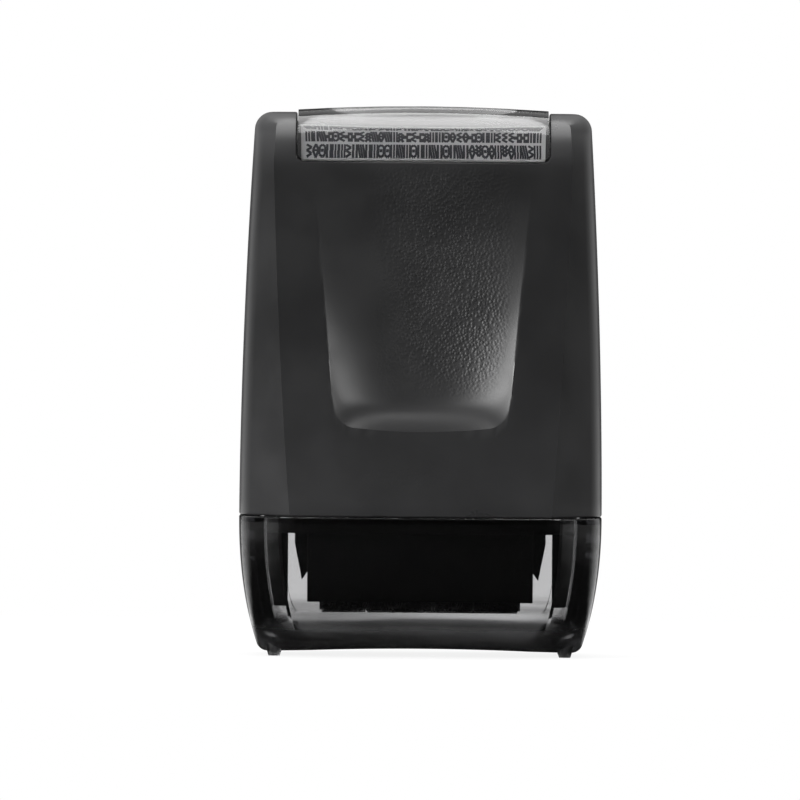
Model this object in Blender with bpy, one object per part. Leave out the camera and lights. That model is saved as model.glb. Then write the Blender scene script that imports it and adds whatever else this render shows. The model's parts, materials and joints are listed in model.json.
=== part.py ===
"""Privacy roller stamp: a hand stamp that rolls a masking pattern over private words on paper.

Frame: metres, +Z up, the front (thumb) side faces -Y, and the origin is the middle of the foot plane.
The stamp stands on its cap. The sizes run from the inside out: the print roller sets the cartridge,
the cartridge sets the chassis, and the chassis sets the housing and the cap.
"""

import math

import bmesh
import bpy

MM = 0.001

# Clearances
SEAT_GAP = 0.30 * MM  # between a piece and what it is pressed into or rests on
RUN_GAP = 0.10 * MM  # round a shaft in its bearing
SLIDE_GAP = 0.40 * MM  # round the cartridge in the chassis
END_PLAY = 0.20 * MM  # at each end of a roller
ROLLER_NIP = 0.30 * MM  # between the ink foam and the print sleeve
OVERRUN = 1.0 * MM  # how far a cutter passes the face that it cuts
WELD = 0.0003 * MM  # points closer than this become one

# Print roller
PRINT_RADIUS = 8.0 * MM
PRINT_WIDTH = 24.7 * MM
SLEEVE_WALL = 1.5 * MM
CORE_WALL = 1.2 * MM
CORE_END = 3.0 * MM
AXLE_RADIUS = 1.2 * MM
BUSH_WALL = 1.0 * MM
BUSH_STAND = 0.3 * MM  # how far a bush stands out of the core's end

# Ink roller
INK_RADIUS = 5.5 * MM
FOAM_WALL = 2.6 * MM
INK_AXLE_RADIUS = 1.0 * MM
INK_FLANGE = 0.7 * MM
INK_FLANGE_REACH = 1.4 * MM

# Cartridge frame, its lid and its ears
CHEEK = 1.0 * MM
HOOD_GAP = 0.6 * MM
HOOD_WALL = 1.0 * MM
HOOD_LIP = 1.9 * MM  # how far the print roller stands out of the hood
INK_ROOM = 0.7 * MM
FOAM_HEADROOM = 1.4 * MM
LID_THICKNESS = 1.5 * MM
LID_PLUG = 0.8 * MM
INK_PORT_RADIUS = 1.5 * MM
EAR_THICKNESS = 1.3 * MM
EAR_DEPTH = 6.0 * MM
EAR_REACH = 3.45 * MM  # below the print roller's axis
EAR_RISE = 4.6 * MM  # above the seam
EAR_TIP = 0.4 * MM
EAR_TIP_RISE = 1.0 * MM
PEG_DROP = 1.6 * MM  # below the ear's top
EAR_TAPER = 4.5 * MM
PEG_RADIUS = 0.7 * MM

# Chassis
CHASSIS_WALL = 1.2 * MM
SLEEVE_CORNER = 4.0 * MM
COLLAR_DROP = 2.0 * MM
COLLAR_RISE = 3.5 * MM
STOP_DEPTH = 10.0 * MM
LEG_ROOM = 0.85 * MM  # between an ear and a leg
LEG_LIFT = 1.05 * MM  # of a leg's end over the print roller's lowest line
LEG_DEPTH = 6.4 * MM
LEG_END_DEPTH = 4.4 * MM

# Housing
WALL = 1.6 * MM
SIDE_ROOM = 3.8 * MM
DEPTH_ROOM = 2.2 * MM
SEAM_GAP = 0.25 * MM  # between the cap's rim and the covers
PARTING_GAP = 0.25 * MM  # between the front and the back cover
SIDE_TAPER = 1.7 * MM
SIDE_BULGE = 0.25 * MM
PANEL_CROWN = 0.5 * MM
SEAM_FACET = 6.4 * MM
TOP_FACET = 2.7 * MM
CREASE_REACH = 0.7 * MM
CORNER_REACH = 2.0 * MM
TOP_RADIUS = 8.0 * MM
INNER_TOP_CORNER = 0.5 * MM
BELOW_DISH = 10.5 * MM
DISH_HEIGHT = 28.7 * MM
ABOVE_DISH = 4.55 * MM
WINDOW_DROP = 6.15 * MM
DISH_BOTTOM_HALF = 10.6 * MM
DISH_TOP_HALF = 13.3 * MM
DISH_CORNER = 2.3 * MM
DISH_SAG = 0.8 * MM
DISH_ROOM = 0.7 * MM
FACET_ANGLE = math.radians(50)
SIDE_CURVE = 1.8  # power of the sides' taper
DISH_CURVE = 2.4  # power of the dish across its width
LEDGE_SHARE = 0.13
FACET_DEPTH_SHARE = 0.55
CORNER_LIMIT_SHARE = 0.4  # of an edge, the most that its round corner takes

# Window, card and carrier in the top end
SHOULDER = 5.15 * MM  # width of each shoulder beside the notch
NOTCH_CORNER = 1.0 * MM
SHOULDER_WEB = 1.2 * MM
CARD_THICKNESS = 0.3 * MM
CARD_MARGIN = 0.9 * MM
WINDOW_CROWN = 0.8 * MM
WINDOW_EDGE_CROWN = 0.3 * MM
CARRIER_WALL = 1.2 * MM
CARRIER_LEG = 4.0 * MM

# Cap
CAP_HEIGHT = 17.3 * MM
CAP_FLOOR = 1.75 * MM
CAP_SIDE_WALL = 2.75 * MM
ROLLER_CLEARANCE = 2.1 * MM
FOOT_DROP = 0.25 * MM
ARCH_RISE = 0.75 * MM
CAP_SIDE_TAPER = 2.7 * MM
CAP_DEPTH_TAPER = 1.4 * MM
CAP_CURVE = 2.2  # power of the cap's taper
CAP_FRONT_ROUND = 7.0 * MM
CAP_SIDE_ROUND = 1.0 * MM
CAP_INNER_ROUND = 3.0 * MM  # of the hollow, at the sides
CAP_FACET = 5.4 * MM
POST_INSET = 0.9 * MM
POST_SPREAD_SHARE = 0.33  # of the half depth, from the middle to a post
POST_HEIGHT = 3.8 * MM
POST_TOP_RADIUS = 1.5 * MM
FOOT_RADIUS = 0.7 * MM

# Facets
TURN_STEPS = 32
FINE_TURN_STEPS = 20

# Grids: places of the columns and rows as shares of the spans that they divide
DISH_COLUMN_SHARES = (0.0, 0.35, 0.6, 0.78, 0.87, 0.94, 0.98, 1.0)
DISH_ROW_SHARES = (0.0, 0.03, 0.07, 0.13, 0.25, 0.45, 0.65, 0.85, 1.0)
CAVITY_COLUMN_SHARES = (0.0, 0.5, 0.85, 1.0)
CAVITY_ROW_SHARES = (0.0, 0.05, 0.13, 0.35, 0.7, 1.0)
PLAIN_COLUMN_SHARES = (0.0, 0.3, 0.6, 0.9)

# Print roller and bush, worked out
CORE_RADIUS = PRINT_RADIUS - SLEEVE_WALL - SEAT_GAP
BUSH_RADIUS = AXLE_RADIUS + RUN_GAP + BUSH_WALL
CAGE_HALF = PRINT_WIDTH / 2 + BUSH_STAND + END_PLAY  # inside of the cheeks
FRAME_HALF = CAGE_HALF + CHEEK
INK_CORE_RADIUS = INK_RADIUS - FOAM_WALL - SEAT_GAP
INK_CORE_HALF = CAGE_HALF - END_PLAY
FOAM_HALF = INK_CORE_HALF - INK_FLANGE - SEAT_GAP

# Heights
FLOOR_TOP = FOOT_DROP + ARCH_RISE + CAP_FLOOR
PRINT_Z = FLOOR_TOP + ROLLER_CLEARANCE + PRINT_RADIUS
INK_Z = PRINT_Z + PRINT_RADIUS + ROLLER_NIP + INK_RADIUS
LIP_Z = PRINT_Z - PRINT_RADIUS + HOOD_LIP
FRAME_TOP = INK_Z + INK_RADIUS + FOAM_HEADROOM
LID_TOP = FRAME_TOP + SEAT_GAP + LID_THICKNESS
SEAM_Z = CAP_HEIGHT
COVER_Z = SEAM_Z + SEAM_GAP
LEG_Z = PRINT_Z - PRINT_RADIUS + LEG_LIFT
COLLAR_TOP = SEAM_Z + COLLAR_RISE
RIB_Z = COLLAR_TOP + SEAT_GAP
RIB_TOP = RIB_Z + CHASSIS_WALL
FLANGE_Z = RIB_TOP + SEAT_GAP
FLANGE_TOP = FLANGE_Z + CHASSIS_WALL
DISH_Z = SEAM_Z + BELOW_DISH
DISH_TOP = DISH_Z + DISH_HEIGHT
WINDOW_Z = DISH_TOP + ABOVE_DISH
HOUSING_TOP = WINDOW_Z + WINDOW_DROP
ARC_Z = HOUSING_TOP - TOP_RADIUS
TOP_CORNER = WALL + INNER_TOP_CORNER

# Widths and depths, from the middle outwards
HOOD_INNER = PRINT_RADIUS + HOOD_GAP
HOOD_OUTER = HOOD_INNER + HOOD_WALL
CAGE_DEPTH = INK_RADIUS + INK_ROOM
FRAME_DEPTH = CAGE_DEPTH + HOOD_WALL
EAR_INNER = FRAME_HALF + SEAT_GAP
EAR_OUTER = EAR_INNER + EAR_THICKNESS
LEG_INNER = EAR_OUTER + LEG_ROOM
SLEEVE_HALF_WIDTH = EAR_OUTER + SLIDE_GAP
SLEEVE_HALF_DEPTH = HOOD_OUTER + SLIDE_GAP
SEAM_HALF_WIDTH = SLEEVE_HALF_WIDTH + CHASSIS_WALL + SIDE_ROOM + WALL
SEAM_HALF_DEPTH = SLEEVE_HALF_DEPTH + CHASSIS_WALL + DEPTH_ROOM + WALL
NOTCH_HALF = SEAM_HALF_WIDTH - SIDE_TAPER - SHOULDER
DISH_FLOOR = FRAME_DEPTH + DISH_ROOM + WALL
CHASSIS_INSET = WALL + SEAT_GAP
CARD_INSET = CHASSIS_INSET - SEAT_GAP - CARD_THICKNESS
WINDOW_WALL = CARD_INSET - SEAT_GAP


def lean_of_face():
    """Angle by which the front and back lean in, from the seam to where they touch the round top."""
    rise = ARC_Z - SEAM_Z
    reach = math.hypot(rise, SEAM_HALF_DEPTH)
    return math.acos(TOP_RADIUS / reach) - math.atan2(rise, SEAM_HALF_DEPTH)


FACE_LEAN = lean_of_face()


# Shape of the housing and the cap


def housing_half_depth(z, inset=0.0):
    """Half depth of the housing at height z: a leaning face under a round top."""
    radius = TOP_RADIUS - inset
    if z < ARC_Z + radius * math.sin(FACE_LEAN):
        return radius / math.cos(FACE_LEAN) - (z - ARC_Z) * math.tan(FACE_LEAN)
    return math.sqrt(max(radius**2 - (z - ARC_Z) ** 2, 0.0))


def housing_half_width(z, inset=0.0):
    """Half width of the housing at height z, with the round corner of its shoulder."""
    share = max(z - SEAM_Z, 0.0) / (HOUSING_TOP - SEAM_Z)
    plain = SEAM_HALF_WIDTH - SIDE_TAPER * share**SIDE_CURVE
    above = z - (HOUSING_TOP - TOP_CORNER)
    if above <= 0.0:
        return plain - inset
    corner = math.sqrt(max((TOP_CORNER - inset) ** 2 - above**2, 0.0))
    return plain - TOP_CORNER + corner


def facet_width(z):
    """Width of the facet between the front panel and the side, which narrows towards the top."""
    share = min(max(z - SEAM_Z, 0.0) / (WINDOW_Z - SEAM_Z), 1.0)
    return SEAM_FACET + (TOP_FACET - SEAM_FACET) * share


def cap_shrink(z, radius):
    """How far a rounded lower edge of this radius has drawn in at height z above its foot."""
    if z >= radius:
        return 0.0
    return radius - math.sqrt(max(radius**2 - (radius - z) ** 2, 0.0))


def cap_half_sizes(z, side, front, foot, side_round=CAP_SIDE_ROUND):
    """Half width and half depth of the cap at height z, for a skin inset from the outside."""
    share = (SEAM_Z - z) / SEAM_Z
    width = SEAM_HALF_WIDTH - CAP_SIDE_TAPER * share**CAP_CURVE - side
    depth = SEAM_HALF_DEPTH - CAP_DEPTH_TAPER * share**CAP_CURVE - front
    width -= cap_shrink(z - foot, side_round)
    depth -= cap_shrink(z - foot, CAP_FRONT_ROUND - front)
    return width, depth


def rounded(before, corner, after, reach, steps):
    """Points that round one corner of an outline, between two of its neighbours."""
    ends = []
    for other in (before, after):
        span = math.dist(corner, other)
        share = min(reach / max(span, WELD), CORNER_LIMIT_SHARE)
        ends.append([c + (o - c) * share for c, o in zip(corner, other)])
    points = []
    for step in range(steps + 1):
        t = step / steps
        a, b, c = (1 - t) ** 2, 2 * t * (1 - t), t**2
        points.append(tuple(a * ends[0][i] + b * corner[i] + c * ends[1][i] for i in (0, 1)))
    return points


def quarter_section(half_width, half_depth, facet, inset, panel_xs, dish=None):
    """A quarter of the plan section, from the middle of the front to the middle of the side.

    panel_xs are the places across the flat panel, and dish gives the depth to take off at each.
    """
    facet_depth = min(facet * math.tan(FACET_ANGLE), FACET_DEPTH_SHARE * half_depth)
    crown = PANEL_CROWN * half_depth / SEAM_HALF_DEPTH
    crease_x = half_width - facet + inset * (1 - math.tan(FACET_ANGLE / 2))
    crease = (crease_x, half_depth - crown)
    corner = (half_width - SIDE_BULGE, crease[1] - facet_depth)
    side = (half_width, 0.0)
    points = []
    for x in panel_xs:
        drop = crown * (x / crease_x) ** 2 + (dish(x) if dish else 0.0)
        points.append((x, half_depth - drop))
    points += rounded(points[-1], crease, corner, CREASE_REACH, 2)
    points += rounded(crease, corner, side, CORNER_REACH, 3)
    points.append(side)
    return points


def whole_loop(quarter):
    """The closed section that a quarter makes when it is mirrored to the four sides."""
    right_front = [(x, -y) for x, y in quarter]
    right_back = [(x, y) for x, y in reversed(quarter[:-1])]
    left_back = [(-x, y) for x, y in quarter[1:]]
    left_front = [(-x, -y) for x, y in reversed(quarter[1:-1])]
    return right_front + right_back + left_back + left_front


# Thumb dish, which is the same on the front and on the back


def dish_half_width(z):
    """Half width of the dish at height z. It widens upwards."""
    share = min(max((z - DISH_Z) / DISH_HEIGHT, 0.0), 1.0)
    return DISH_BOTTOM_HALF + (DISH_TOP_HALF - DISH_BOTTOM_HALF) * share


def dish_start(share):
    """Height of the dish's lower edge at a share of its half width: a shallow arch with round corners."""
    share = min(abs(share), 1.0)
    straight = 1 - DISH_CORNER / DISH_BOTTOM_HALF
    rise = DISH_SAG * share**2
    if share > straight:
        across = (share - straight) / (1 - straight)
        rise += DISH_CORNER * (1 - math.sqrt(max(1 - across**2, 0.0)))
    return DISH_Z + rise


def dish_depth(share, z):
    """Depth of the dish at a share of its half width and at height z."""
    start = dish_start(share)
    if abs(share) >= 1 or not start < z < DISH_TOP:
        return 0.0
    up = (z - start) / (DISH_TOP - start)
    ledge = 1 - (1 - min(up / LEDGE_SHARE, 1.0)) ** 2
    deepest = housing_half_depth(DISH_Z) - DISH_FLOOR
    return deepest * (1 - up) * ledge * (1 - abs(share) ** DISH_CURVE)


def housing_column(share, inset, low, row_shares, arc_steps):
    """Heights of the grid points in the column at this share of the dish's half width."""
    start = dish_start(share)
    radius = TOP_RADIUS - inset
    heights = [low, (low + start) / 2]
    heights += [start + part * (DISH_TOP - start) for part in row_shares]
    for step in range(arc_steps + 1):
        angle = FACE_LEAN + (math.pi / 2 - FACE_LEAN) * step / arc_steps
        heights.append(ARC_Z + radius * math.sin(angle))
    return heights


def housing_point(column, share, z, inset, column_shares):
    """One point of the housing's quarter section at height z, by its column number."""
    half = dish_half_width(z)
    xs = [part * half for part in column_shares]
    section = quarter_section(
        housing_half_width(z, inset),
        housing_half_depth(z, inset),
        facet_width(z),
        inset,
        xs,
        lambda x: dish_depth(x / half, z),
    )
    return section[column]


def housing_solid(name, inset, low, column_shares, row_shares, arc_steps):
    """The housing as a solid, inset from its outside, from height low to its round top."""
    columns = []
    count = len(quarter_section(SEAM_HALF_WIDTH, SEAM_HALF_DEPTH, SEAM_FACET, inset, column_shares))
    for column in range(count):
        share = column_shares[column] if column < len(column_shares) else 1.0
        heights = housing_column(share, inset, low, row_shares, arc_steps)
        columns.append(
            [(*housing_point(column, share, z, inset, column_shares), z) for z in heights]
        )
    loops = []
    for row in zip(*columns):
        heights = [z for _, _, z in row]
        plan = whole_loop([(x, y) for x, y, _ in row])
        around = heights + heights[-2::-1] + heights[1:] + heights[-2:0:-1]
        loops.append([(x, y, z) for (x, y), z in zip(plan, around)])
    return lofted(name, loops)


# Mesh tools


def new_object(name, mesh_data):
    """Links a mesh to the scene as one named object."""
    thing = bpy.data.objects.new(name, mesh_data)
    bpy.context.scene.collection.objects.link(thing)
    return thing


def object_from(name, build):
    """Makes an object from a closed mesh that build(bm) adds, with its faces turned outwards."""
    bm = bmesh.new()
    build(bm)
    bmesh.ops.remove_doubles(bm, verts=bm.verts, dist=WELD)
    bmesh.ops.dissolve_degenerate(bm, edges=bm.edges, dist=WELD)
    bmesh.ops.recalc_face_normals(bm, faces=bm.faces)
    mesh_data = bpy.data.meshes.new(name)
    bm.to_mesh(mesh_data)
    bm.free()
    return new_object(name, mesh_data)


def lofted(name, loops, strips=False):
    """A closed solid through a stack of loops with equal numbers of points.

    With strips, each end is made of bands that run from the front to the back of its loop.
    """

    def build(bm):
        rings = [[bm.verts.new(point) for point in loop] for loop in loops]
        count = len(loops[0])
        for low, high in zip(rings, rings[1:]):
            for i in range(count):
                j = (i + 1) % count
                bm.faces.new((low[i], low[j], high[j], high[i]))
        if not strips:
            bm.faces.new(reversed(rings[0]))
            bm.faces.new(rings[-1])
            return
        quarter = count // 4
        for ring in (rings[0], rings[-1]):
            for i in range(-quarter, quarter):
                corners = [ring[i], ring[i + 1], ring[2 * quarter - i - 1]]
                corners.append(ring[(2 * quarter - i) % count])
                bm.faces.new(list(dict.fromkeys(corners)))

    return object_from(name, build)


def prism(name, outline, start, end, place):
    """An outline extruded from start to end; place(a, b, along) gives the point in space."""
    return lofted(name, [[place(a, b, along) for a, b in outline] for along in (start, end)])


def upright(a, b, along):
    """Places an outline drawn in X and Y, and extruded up."""
    return (a, b, along)


def crosswise(a, b, along):
    """Places an outline drawn in Y and Z, and extruded along X."""
    return (along, a, b)


def frontwise(a, b, along):
    """Places an outline drawn in X and Z, and extruded along Y."""
    return (a, along, b)


def block(name, low, high):
    """A plain block between two corners."""
    outline = [(low[0], low[1]), (high[0], low[1]), (high[0], high[1]), (low[0], high[1])]
    return prism(name, outline, low[2], high[2], upright)


def turned(name, outline, steps=TURN_STEPS):
    """A ring or pin turned about the X axis from a closed outline of (along, radius) points."""

    def build(bm):
        rings = []
        for along, radius in outline:
            ring = []
            for step in range(steps):
                angle = 2 * math.pi * step / steps
                ring.append((along, radius * math.sin(angle), radius * math.cos(angle)))
            rings.append([bm.verts.new(point) for point in ring])
        for ring, after in zip(rings, rings[1:] + rings[:1]):
            for i in range(steps):
                j = (i + 1) % steps
                bm.faces.new((ring[i], ring[j], after[j], after[i]))

    return object_from(name, build)


def tube_outline(low, high, inner, outer):
    """Outline of a plain tube between two places along its axis."""
    return [(low, inner), (low, outer), (high, outer), (high, inner)]


def combine(target, tool, operation):
    """Cuts the tool from the target, or joins it on, and removes the tool."""
    modifier = target.modifiers.new("combine", "BOOLEAN")
    modifier.operation = operation
    modifier.solver = "EXACT"
    modifier.object = tool
    bpy.context.view_layer.update()
    graph = bpy.context.evaluated_depsgraph_get()
    made = bpy.data.meshes.new_from_object(target.evaluated_get(graph))
    target.modifiers.clear()
    old = target.data
    target.data = made
    bpy.data.meshes.remove(old)
    bpy.data.objects.remove(tool)
    return target


def cut(target, *tools):
    """Takes each tool away from the target."""
    for tool in tools:
        combine(target, tool, "DIFFERENCE")
    return target


def join(target, *tools):
    """Joins each tool on to the target."""
    for tool in tools:
        combine(target, tool, "UNION")
    return target


def copy_of(thing, name):
    """A second object with its own copy of the mesh."""
    return new_object(name, thing.data.copy())


def plastic(name, colour, roughness, metallic=0.0, alpha=1.0):
    """A plain Principled material."""
    material = bpy.data.materials.new(name)
    material.use_nodes = True
    shader = material.node_tree.nodes["Principled BSDF"]
    shader.inputs["Base Color"].default_value = (*colour, 1.0)
    shader.inputs["Roughness"].default_value = roughness
    shader.inputs["Metallic"].default_value = metallic
    shader.inputs["Alpha"].default_value = alpha
    return material


def finish(thing, material, parent):
    """Gives a piece its name, material, smooth round faces and parent."""
    thing.data.materials.clear()
    thing.data.materials.append(material)
    thing.data.shade_smooth()
    thing.data.set_sharp_from_angle(angle=math.radians(30))
    thing.parent = parent
    return thing


def axis_empty(name, z, parent=None):
    """An empty that carries the pieces of one moving body."""
    empty = bpy.data.objects.new(name, None)
    bpy.context.scene.collection.objects.link(empty)
    empty.parent = parent
    empty.location = (0.0, 0.0, z)
    return empty


# Housing


def section_block(name, inset, low, high, narrower=0.0):
    """A slab with the housing's plan section, inset, between two heights."""
    loops = []
    for z in (low, high):
        half_width = housing_half_width(z, inset) - narrower
        half_depth = housing_half_depth(max(z, SEAM_Z), inset)
        facet = facet_width(z) - narrower
        xs = [part * (half_width - facet) for part in PLAIN_COLUMN_SHARES]
        quarter = quarter_section(half_width, half_depth, facet, inset, xs)
        loops.append([(x, y, z) for x, y in whole_loop(quarter)])
    return lofted(name, loops)


def sleeve_outline(grow):
    """Eight-sided outline of the cartridge's way through the chassis, grown on all sides."""
    width, depth = SLEEVE_HALF_WIDTH + grow, SLEEVE_HALF_DEPTH + grow
    near = FRAME_HALF + SLIDE_GAP + grow / 2
    far = SLEEVE_HALF_DEPTH - SLEEVE_CORNER + grow / 2
    quarter = [(near, depth), (width, far)]
    right = [(x, -y) for x, y in quarter] + [(x, y) for x, y in reversed(quarter)]
    return right + [(-x, y) for x, y in quarter] + [(-x, -y) for x, y in reversed(quarter)]


def notch_cutter(inset):
    """A solid that fills the window's notch, inset from its sides, with round lower corners."""
    half, low = NOTCH_HALF - inset, WINDOW_Z + inset
    across, up = (0.0, low), (half, HOUSING_TOP + OVERRUN)
    right = rounded(across, (half, low), up, NOTCH_CORNER, 3) + [up]
    outline = right + [(-x, z) for x, z in reversed(right)]
    return prism("notch", outline, -SEAM_HALF_DEPTH, SEAM_HALF_DEPTH, frontwise)


def covers(material, parent):
    """The two shells of the housing, which close on the chassis like a clam."""
    shell = housing_solid("shell", 0.0, COVER_Z, DISH_COLUMN_SHARES, DISH_ROW_SHARES, 7)
    cavity = housing_solid(
        "cavity", WALL, COVER_Z - OVERRUN, CAVITY_COLUMN_SHARES, CAVITY_ROW_SHARES, 4
    )
    rib_low = (-SEAM_HALF_WIDTH, -SEAM_HALF_DEPTH, RIB_Z)
    rib_high = (SEAM_HALF_WIDTH, SEAM_HALF_DEPTH, RIB_TOP)
    cut(cavity, block("rib", rib_low, rib_high))
    for side in (-1, 1):
        inner, outer = side * NOTCH_HALF, side * (NOTCH_HALF + SHOULDER_WEB)
        low = (min(inner, outer), -SEAM_HALF_DEPTH, WINDOW_Z - WALL)
        high = (max(inner, outer), SEAM_HALF_DEPTH, HOUSING_TOP)
        cut(cavity, block("web", low, high))
    way = prism(
        "way", sleeve_outline(CHASSIS_WALL + SEAT_GAP), COVER_Z, RIB_TOP + SEAT_GAP, upright
    )
    cut(shell, cavity, way, notch_cutter(0.0))
    pieces = []
    for name, side in (("front_cover", -1), ("back_cover", 1)):
        half = copy_of(shell, name)
        reach = (-side * SEAM_HALF_DEPTH * 2, side * PARTING_GAP / 2)
        low = (-SEAM_HALF_WIDTH * 2, min(reach), 0.0)
        high = (SEAM_HALF_WIDTH * 2, max(reach), HOUSING_TOP * 2)
        pieces.append(finish(cut(half, block("other_half", low, high)), material, parent))
    bpy.data.objects.remove(shell)
    return pieces


def chassis(material, parent):
    """The collar that the cap plugs on to, with the cartridge's sleeve and stop, and both legs."""
    bottom = SEAM_Z - COLLAR_DROP
    narrower = CAP_SIDE_WALL - WALL
    piece = section_block("chassis", CHASSIS_INSET, bottom, COLLAR_TOP, narrower)
    inset, top = CHASSIS_INSET + CHASSIS_WALL, COLLAR_TOP + OVERRUN
    cut(piece, section_block("pocket", inset, bottom + CHASSIS_WALL, top, narrower))
    wall = prism("wall", sleeve_outline(CHASSIS_WALL), bottom + SEAT_GAP, FLANGE_TOP, upright)
    flange = section_block("flange", CHASSIS_INSET, FLANGE_Z, FLANGE_TOP)
    join(piece, wall, flange)
    way = prism("way", sleeve_outline(0.0), bottom - OVERRUN, FLANGE_TOP + OVERRUN, upright)
    cut(piece, way)
    width, depth = SLEEVE_HALF_WIDTH + CHASSIS_WALL, STOP_DEPTH / 2
    stop = LID_TOP + SEAT_GAP
    foot = FLANGE_Z + SEAT_GAP
    arch = block("arch", (-width, -depth, foot), (width, depth, stop + CHASSIS_WALL))
    inner = SLEEVE_HALF_WIDTH
    cut(arch, block("under", (-inner, -depth * 2, foot - OVERRUN), (inner, depth * 2, stop)))
    join(piece, arch, leg("leg_left", -1), leg("leg_right", 1))
    return finish(piece, material, parent)


def leg(name, side):
    """A leg beside the print roller. It follows the cap's inner wall, and ends just over the paper."""
    high = SEAM_Z - COLLAR_DROP + CHASSIS_WALL / 2
    middle = (LEG_Z + high) / 2
    inset = CAP_SIDE_WALL + SEAT_GAP
    loops = []
    for z, depth in ((LEG_Z, LEG_END_DEPTH), (middle, LEG_DEPTH), (high, LEG_DEPTH)):
        outer = cap_half_sizes(z, inset, WALL, FOOT_DROP + CAP_FLOOR, CAP_INNER_ROUND)[0]
        corners = [(LEG_INNER, -depth), (outer, -depth), (outer, depth), (LEG_INNER, depth)]
        loops.append([(side * x, y / 2, z) for x, y in corners])
    return lofted(name, loops)


def crown_path(inset, low, steps):
    """Points (depth, height) over the round top, from height low in front to height low behind."""
    radius = TOP_RADIUS - inset
    start = math.asin(min(max((low - ARC_Z) / radius, math.sin(FACE_LEAN)), 1.0))
    front = []
    if low < ARC_Z + radius * math.sin(FACE_LEAN):
        front.append((-housing_half_depth(low, inset), low))
    else:
        front.append((-radius * math.cos(start), ARC_Z + radius * math.sin(start)))
        start += (math.pi / 2 - start) / steps
    middle = []
    for step in range(steps):
        angle = start + (math.pi - 2 * start) * step / (steps - 1)
        middle.append((-radius * math.cos(angle), ARC_Z + radius * math.sin(angle)))
    return front + middle + [(-front[0][0], front[0][1])]


def saddle(name, outer_inset, inner_inset, low, half_width, steps, columns=1, crown=None):
    """A curved plate over the round top. crown(x) lifts its outside, most of all at the ridge."""
    outer = crown_path(outer_inset, low, steps)
    inner = crown_path(inner_inset, low, steps)

    def build(bm):
        rings = []
        for column in range(columns + 1):
            x = half_width * (2 * column / columns - 1)
            lift = crown(x) if crown else 0.0
            top = []
            for y, z in outer:
                up = max((z - low) / (HOUSING_TOP - outer_inset - low), 0.0)
                top.append(bm.verts.new((x, y, z + lift * math.sin(up * math.pi / 2) ** 2)))
            rings.append(top + [bm.verts.new((x, y, z)) for y, z in reversed(inner)])
        count = len(rings[0])
        for ring, after in zip(rings, rings[1:]):
            for i in range(count):
                j = (i + 1) % count
                bm.faces.new((ring[i], ring[j], after[j], after[i]))
        for ring in (rings[0], rings[-1]):
            half = len(outer)
            for i in range(half - 1):
                bm.faces.new((ring[i], ring[i + 1], ring[count - 2 - i], ring[count - 1 - i]))

    return object_from(name, build)


def window_lift(x):
    """How far the window stands over the shoulders at place x."""
    return WINDOW_CROWN - (WINDOW_CROWN - WINDOW_EDGE_CROWN) * (x / NOTCH_HALF) ** 2


def top_end(black, clear, paper, parent):
    """The carrier, the printed card and the clear window in the notch."""
    half = NOTCH_HALF - SEAT_GAP
    carrier = saddle(
        "label_carrier",
        CHASSIS_INSET,
        CHASSIS_INSET + CARRIER_WALL,
        WINDOW_Z - CARRIER_LEG,
        NOTCH_HALF - SEAT_GAP,
        13,
    )
    card = saddle(
        "label_card",
        CARD_INSET,
        CARD_INSET + CARD_THICKNESS,
        WINDOW_Z + SEAT_GAP,
        half - CARD_MARGIN,
        17,
    )
    window = saddle("label_window", 0.0, WINDOW_WALL, WINDOW_Z, half, 17, 6, window_lift)
    combine(window, notch_cutter(SEAT_GAP), "INTERSECT")
    finish(carrier, black, parent)
    finish(card, paper, parent)
    finish(window, clear, parent)


# Cap


def arch_lift(x, half_width):
    """Height of the arch under the cap at place x."""
    return ARCH_RISE * max(1 - (x / half_width) ** 2, 0.0)


def cap_skin(name, side, front, foot, side_round, top, round_steps, wall_steps):
    """The cap's outside, or its hollow, as a solid: rounded below, arched along its foot."""
    reach = CAP_FRONT_ROUND - front
    heights = []
    for step in range(round_steps + 1):
        heights.append(foot + reach * (1 - math.cos(math.pi / 2 * step / round_steps)))
    start = heights[-1]
    for step in range(1, wall_steps + 1):
        heights.append(start + (SEAM_Z - start) * step / wall_steps)
    if top > SEAM_Z:
        heights.append(top)
    loops = []
    for z in heights:
        width, depth = cap_half_sizes(min(z, SEAM_Z), side, front, foot, side_round)
        facet = CAP_FACET - side
        xs = [part * (width - facet) for part in PLAIN_COLUMN_SHARES]
        quarter = quarter_section(width, depth, facet, 0.0, xs)
        fade = max(1 - (z - foot) / reach, 0.0)
        loops.append(
            [(x, y, z + fade * arch_lift(x, SEAM_HALF_WIDTH)) for x, y in whole_loop(quarter)]
        )
    return lofted(name, loops, strips=True)


def cap(material, parent):
    """The smoke-tinted cap: a rounded shell with thick sides, and four posts to stand on."""
    piece = cap_skin("cap", 0.0, 0.0, FOOT_DROP, CAP_SIDE_ROUND, SEAM_Z, 6, 4)
    low, high = FOOT_DROP + CAP_FLOOR, SEAM_Z + OVERRUN
    cut(piece, cap_skin("hollow", CAP_SIDE_WALL, WALL, low, CAP_INNER_ROUND, high, 6, 3))
    width = cap_half_sizes(FOOT_DROP, 0.0, 0.0, FOOT_DROP)[0]
    spread = SEAM_HALF_DEPTH * POST_SPREAD_SHARE
    for x in (POST_INSET - width, width - POST_INSET):
        for y in (-spread, spread):
            join(piece, post(x, y))
    return finish(piece, material, parent)


def post(x, y):
    """One corner post: a cone that widens upwards from a flat foot."""
    loops = []
    for z, radius in ((0.0, FOOT_RADIUS), (POST_HEIGHT, POST_TOP_RADIUS)):
        loops.append(
            [
                (
                    x + radius * math.cos(2 * math.pi * step / FINE_TURN_STEPS),
                    y + radius * math.sin(2 * math.pi * step / FINE_TURN_STEPS),
                    z,
                )
                for step in range(FINE_TURN_STEPS)
            ]
        )
    return lofted("post", loops)


# Cartridge


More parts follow.
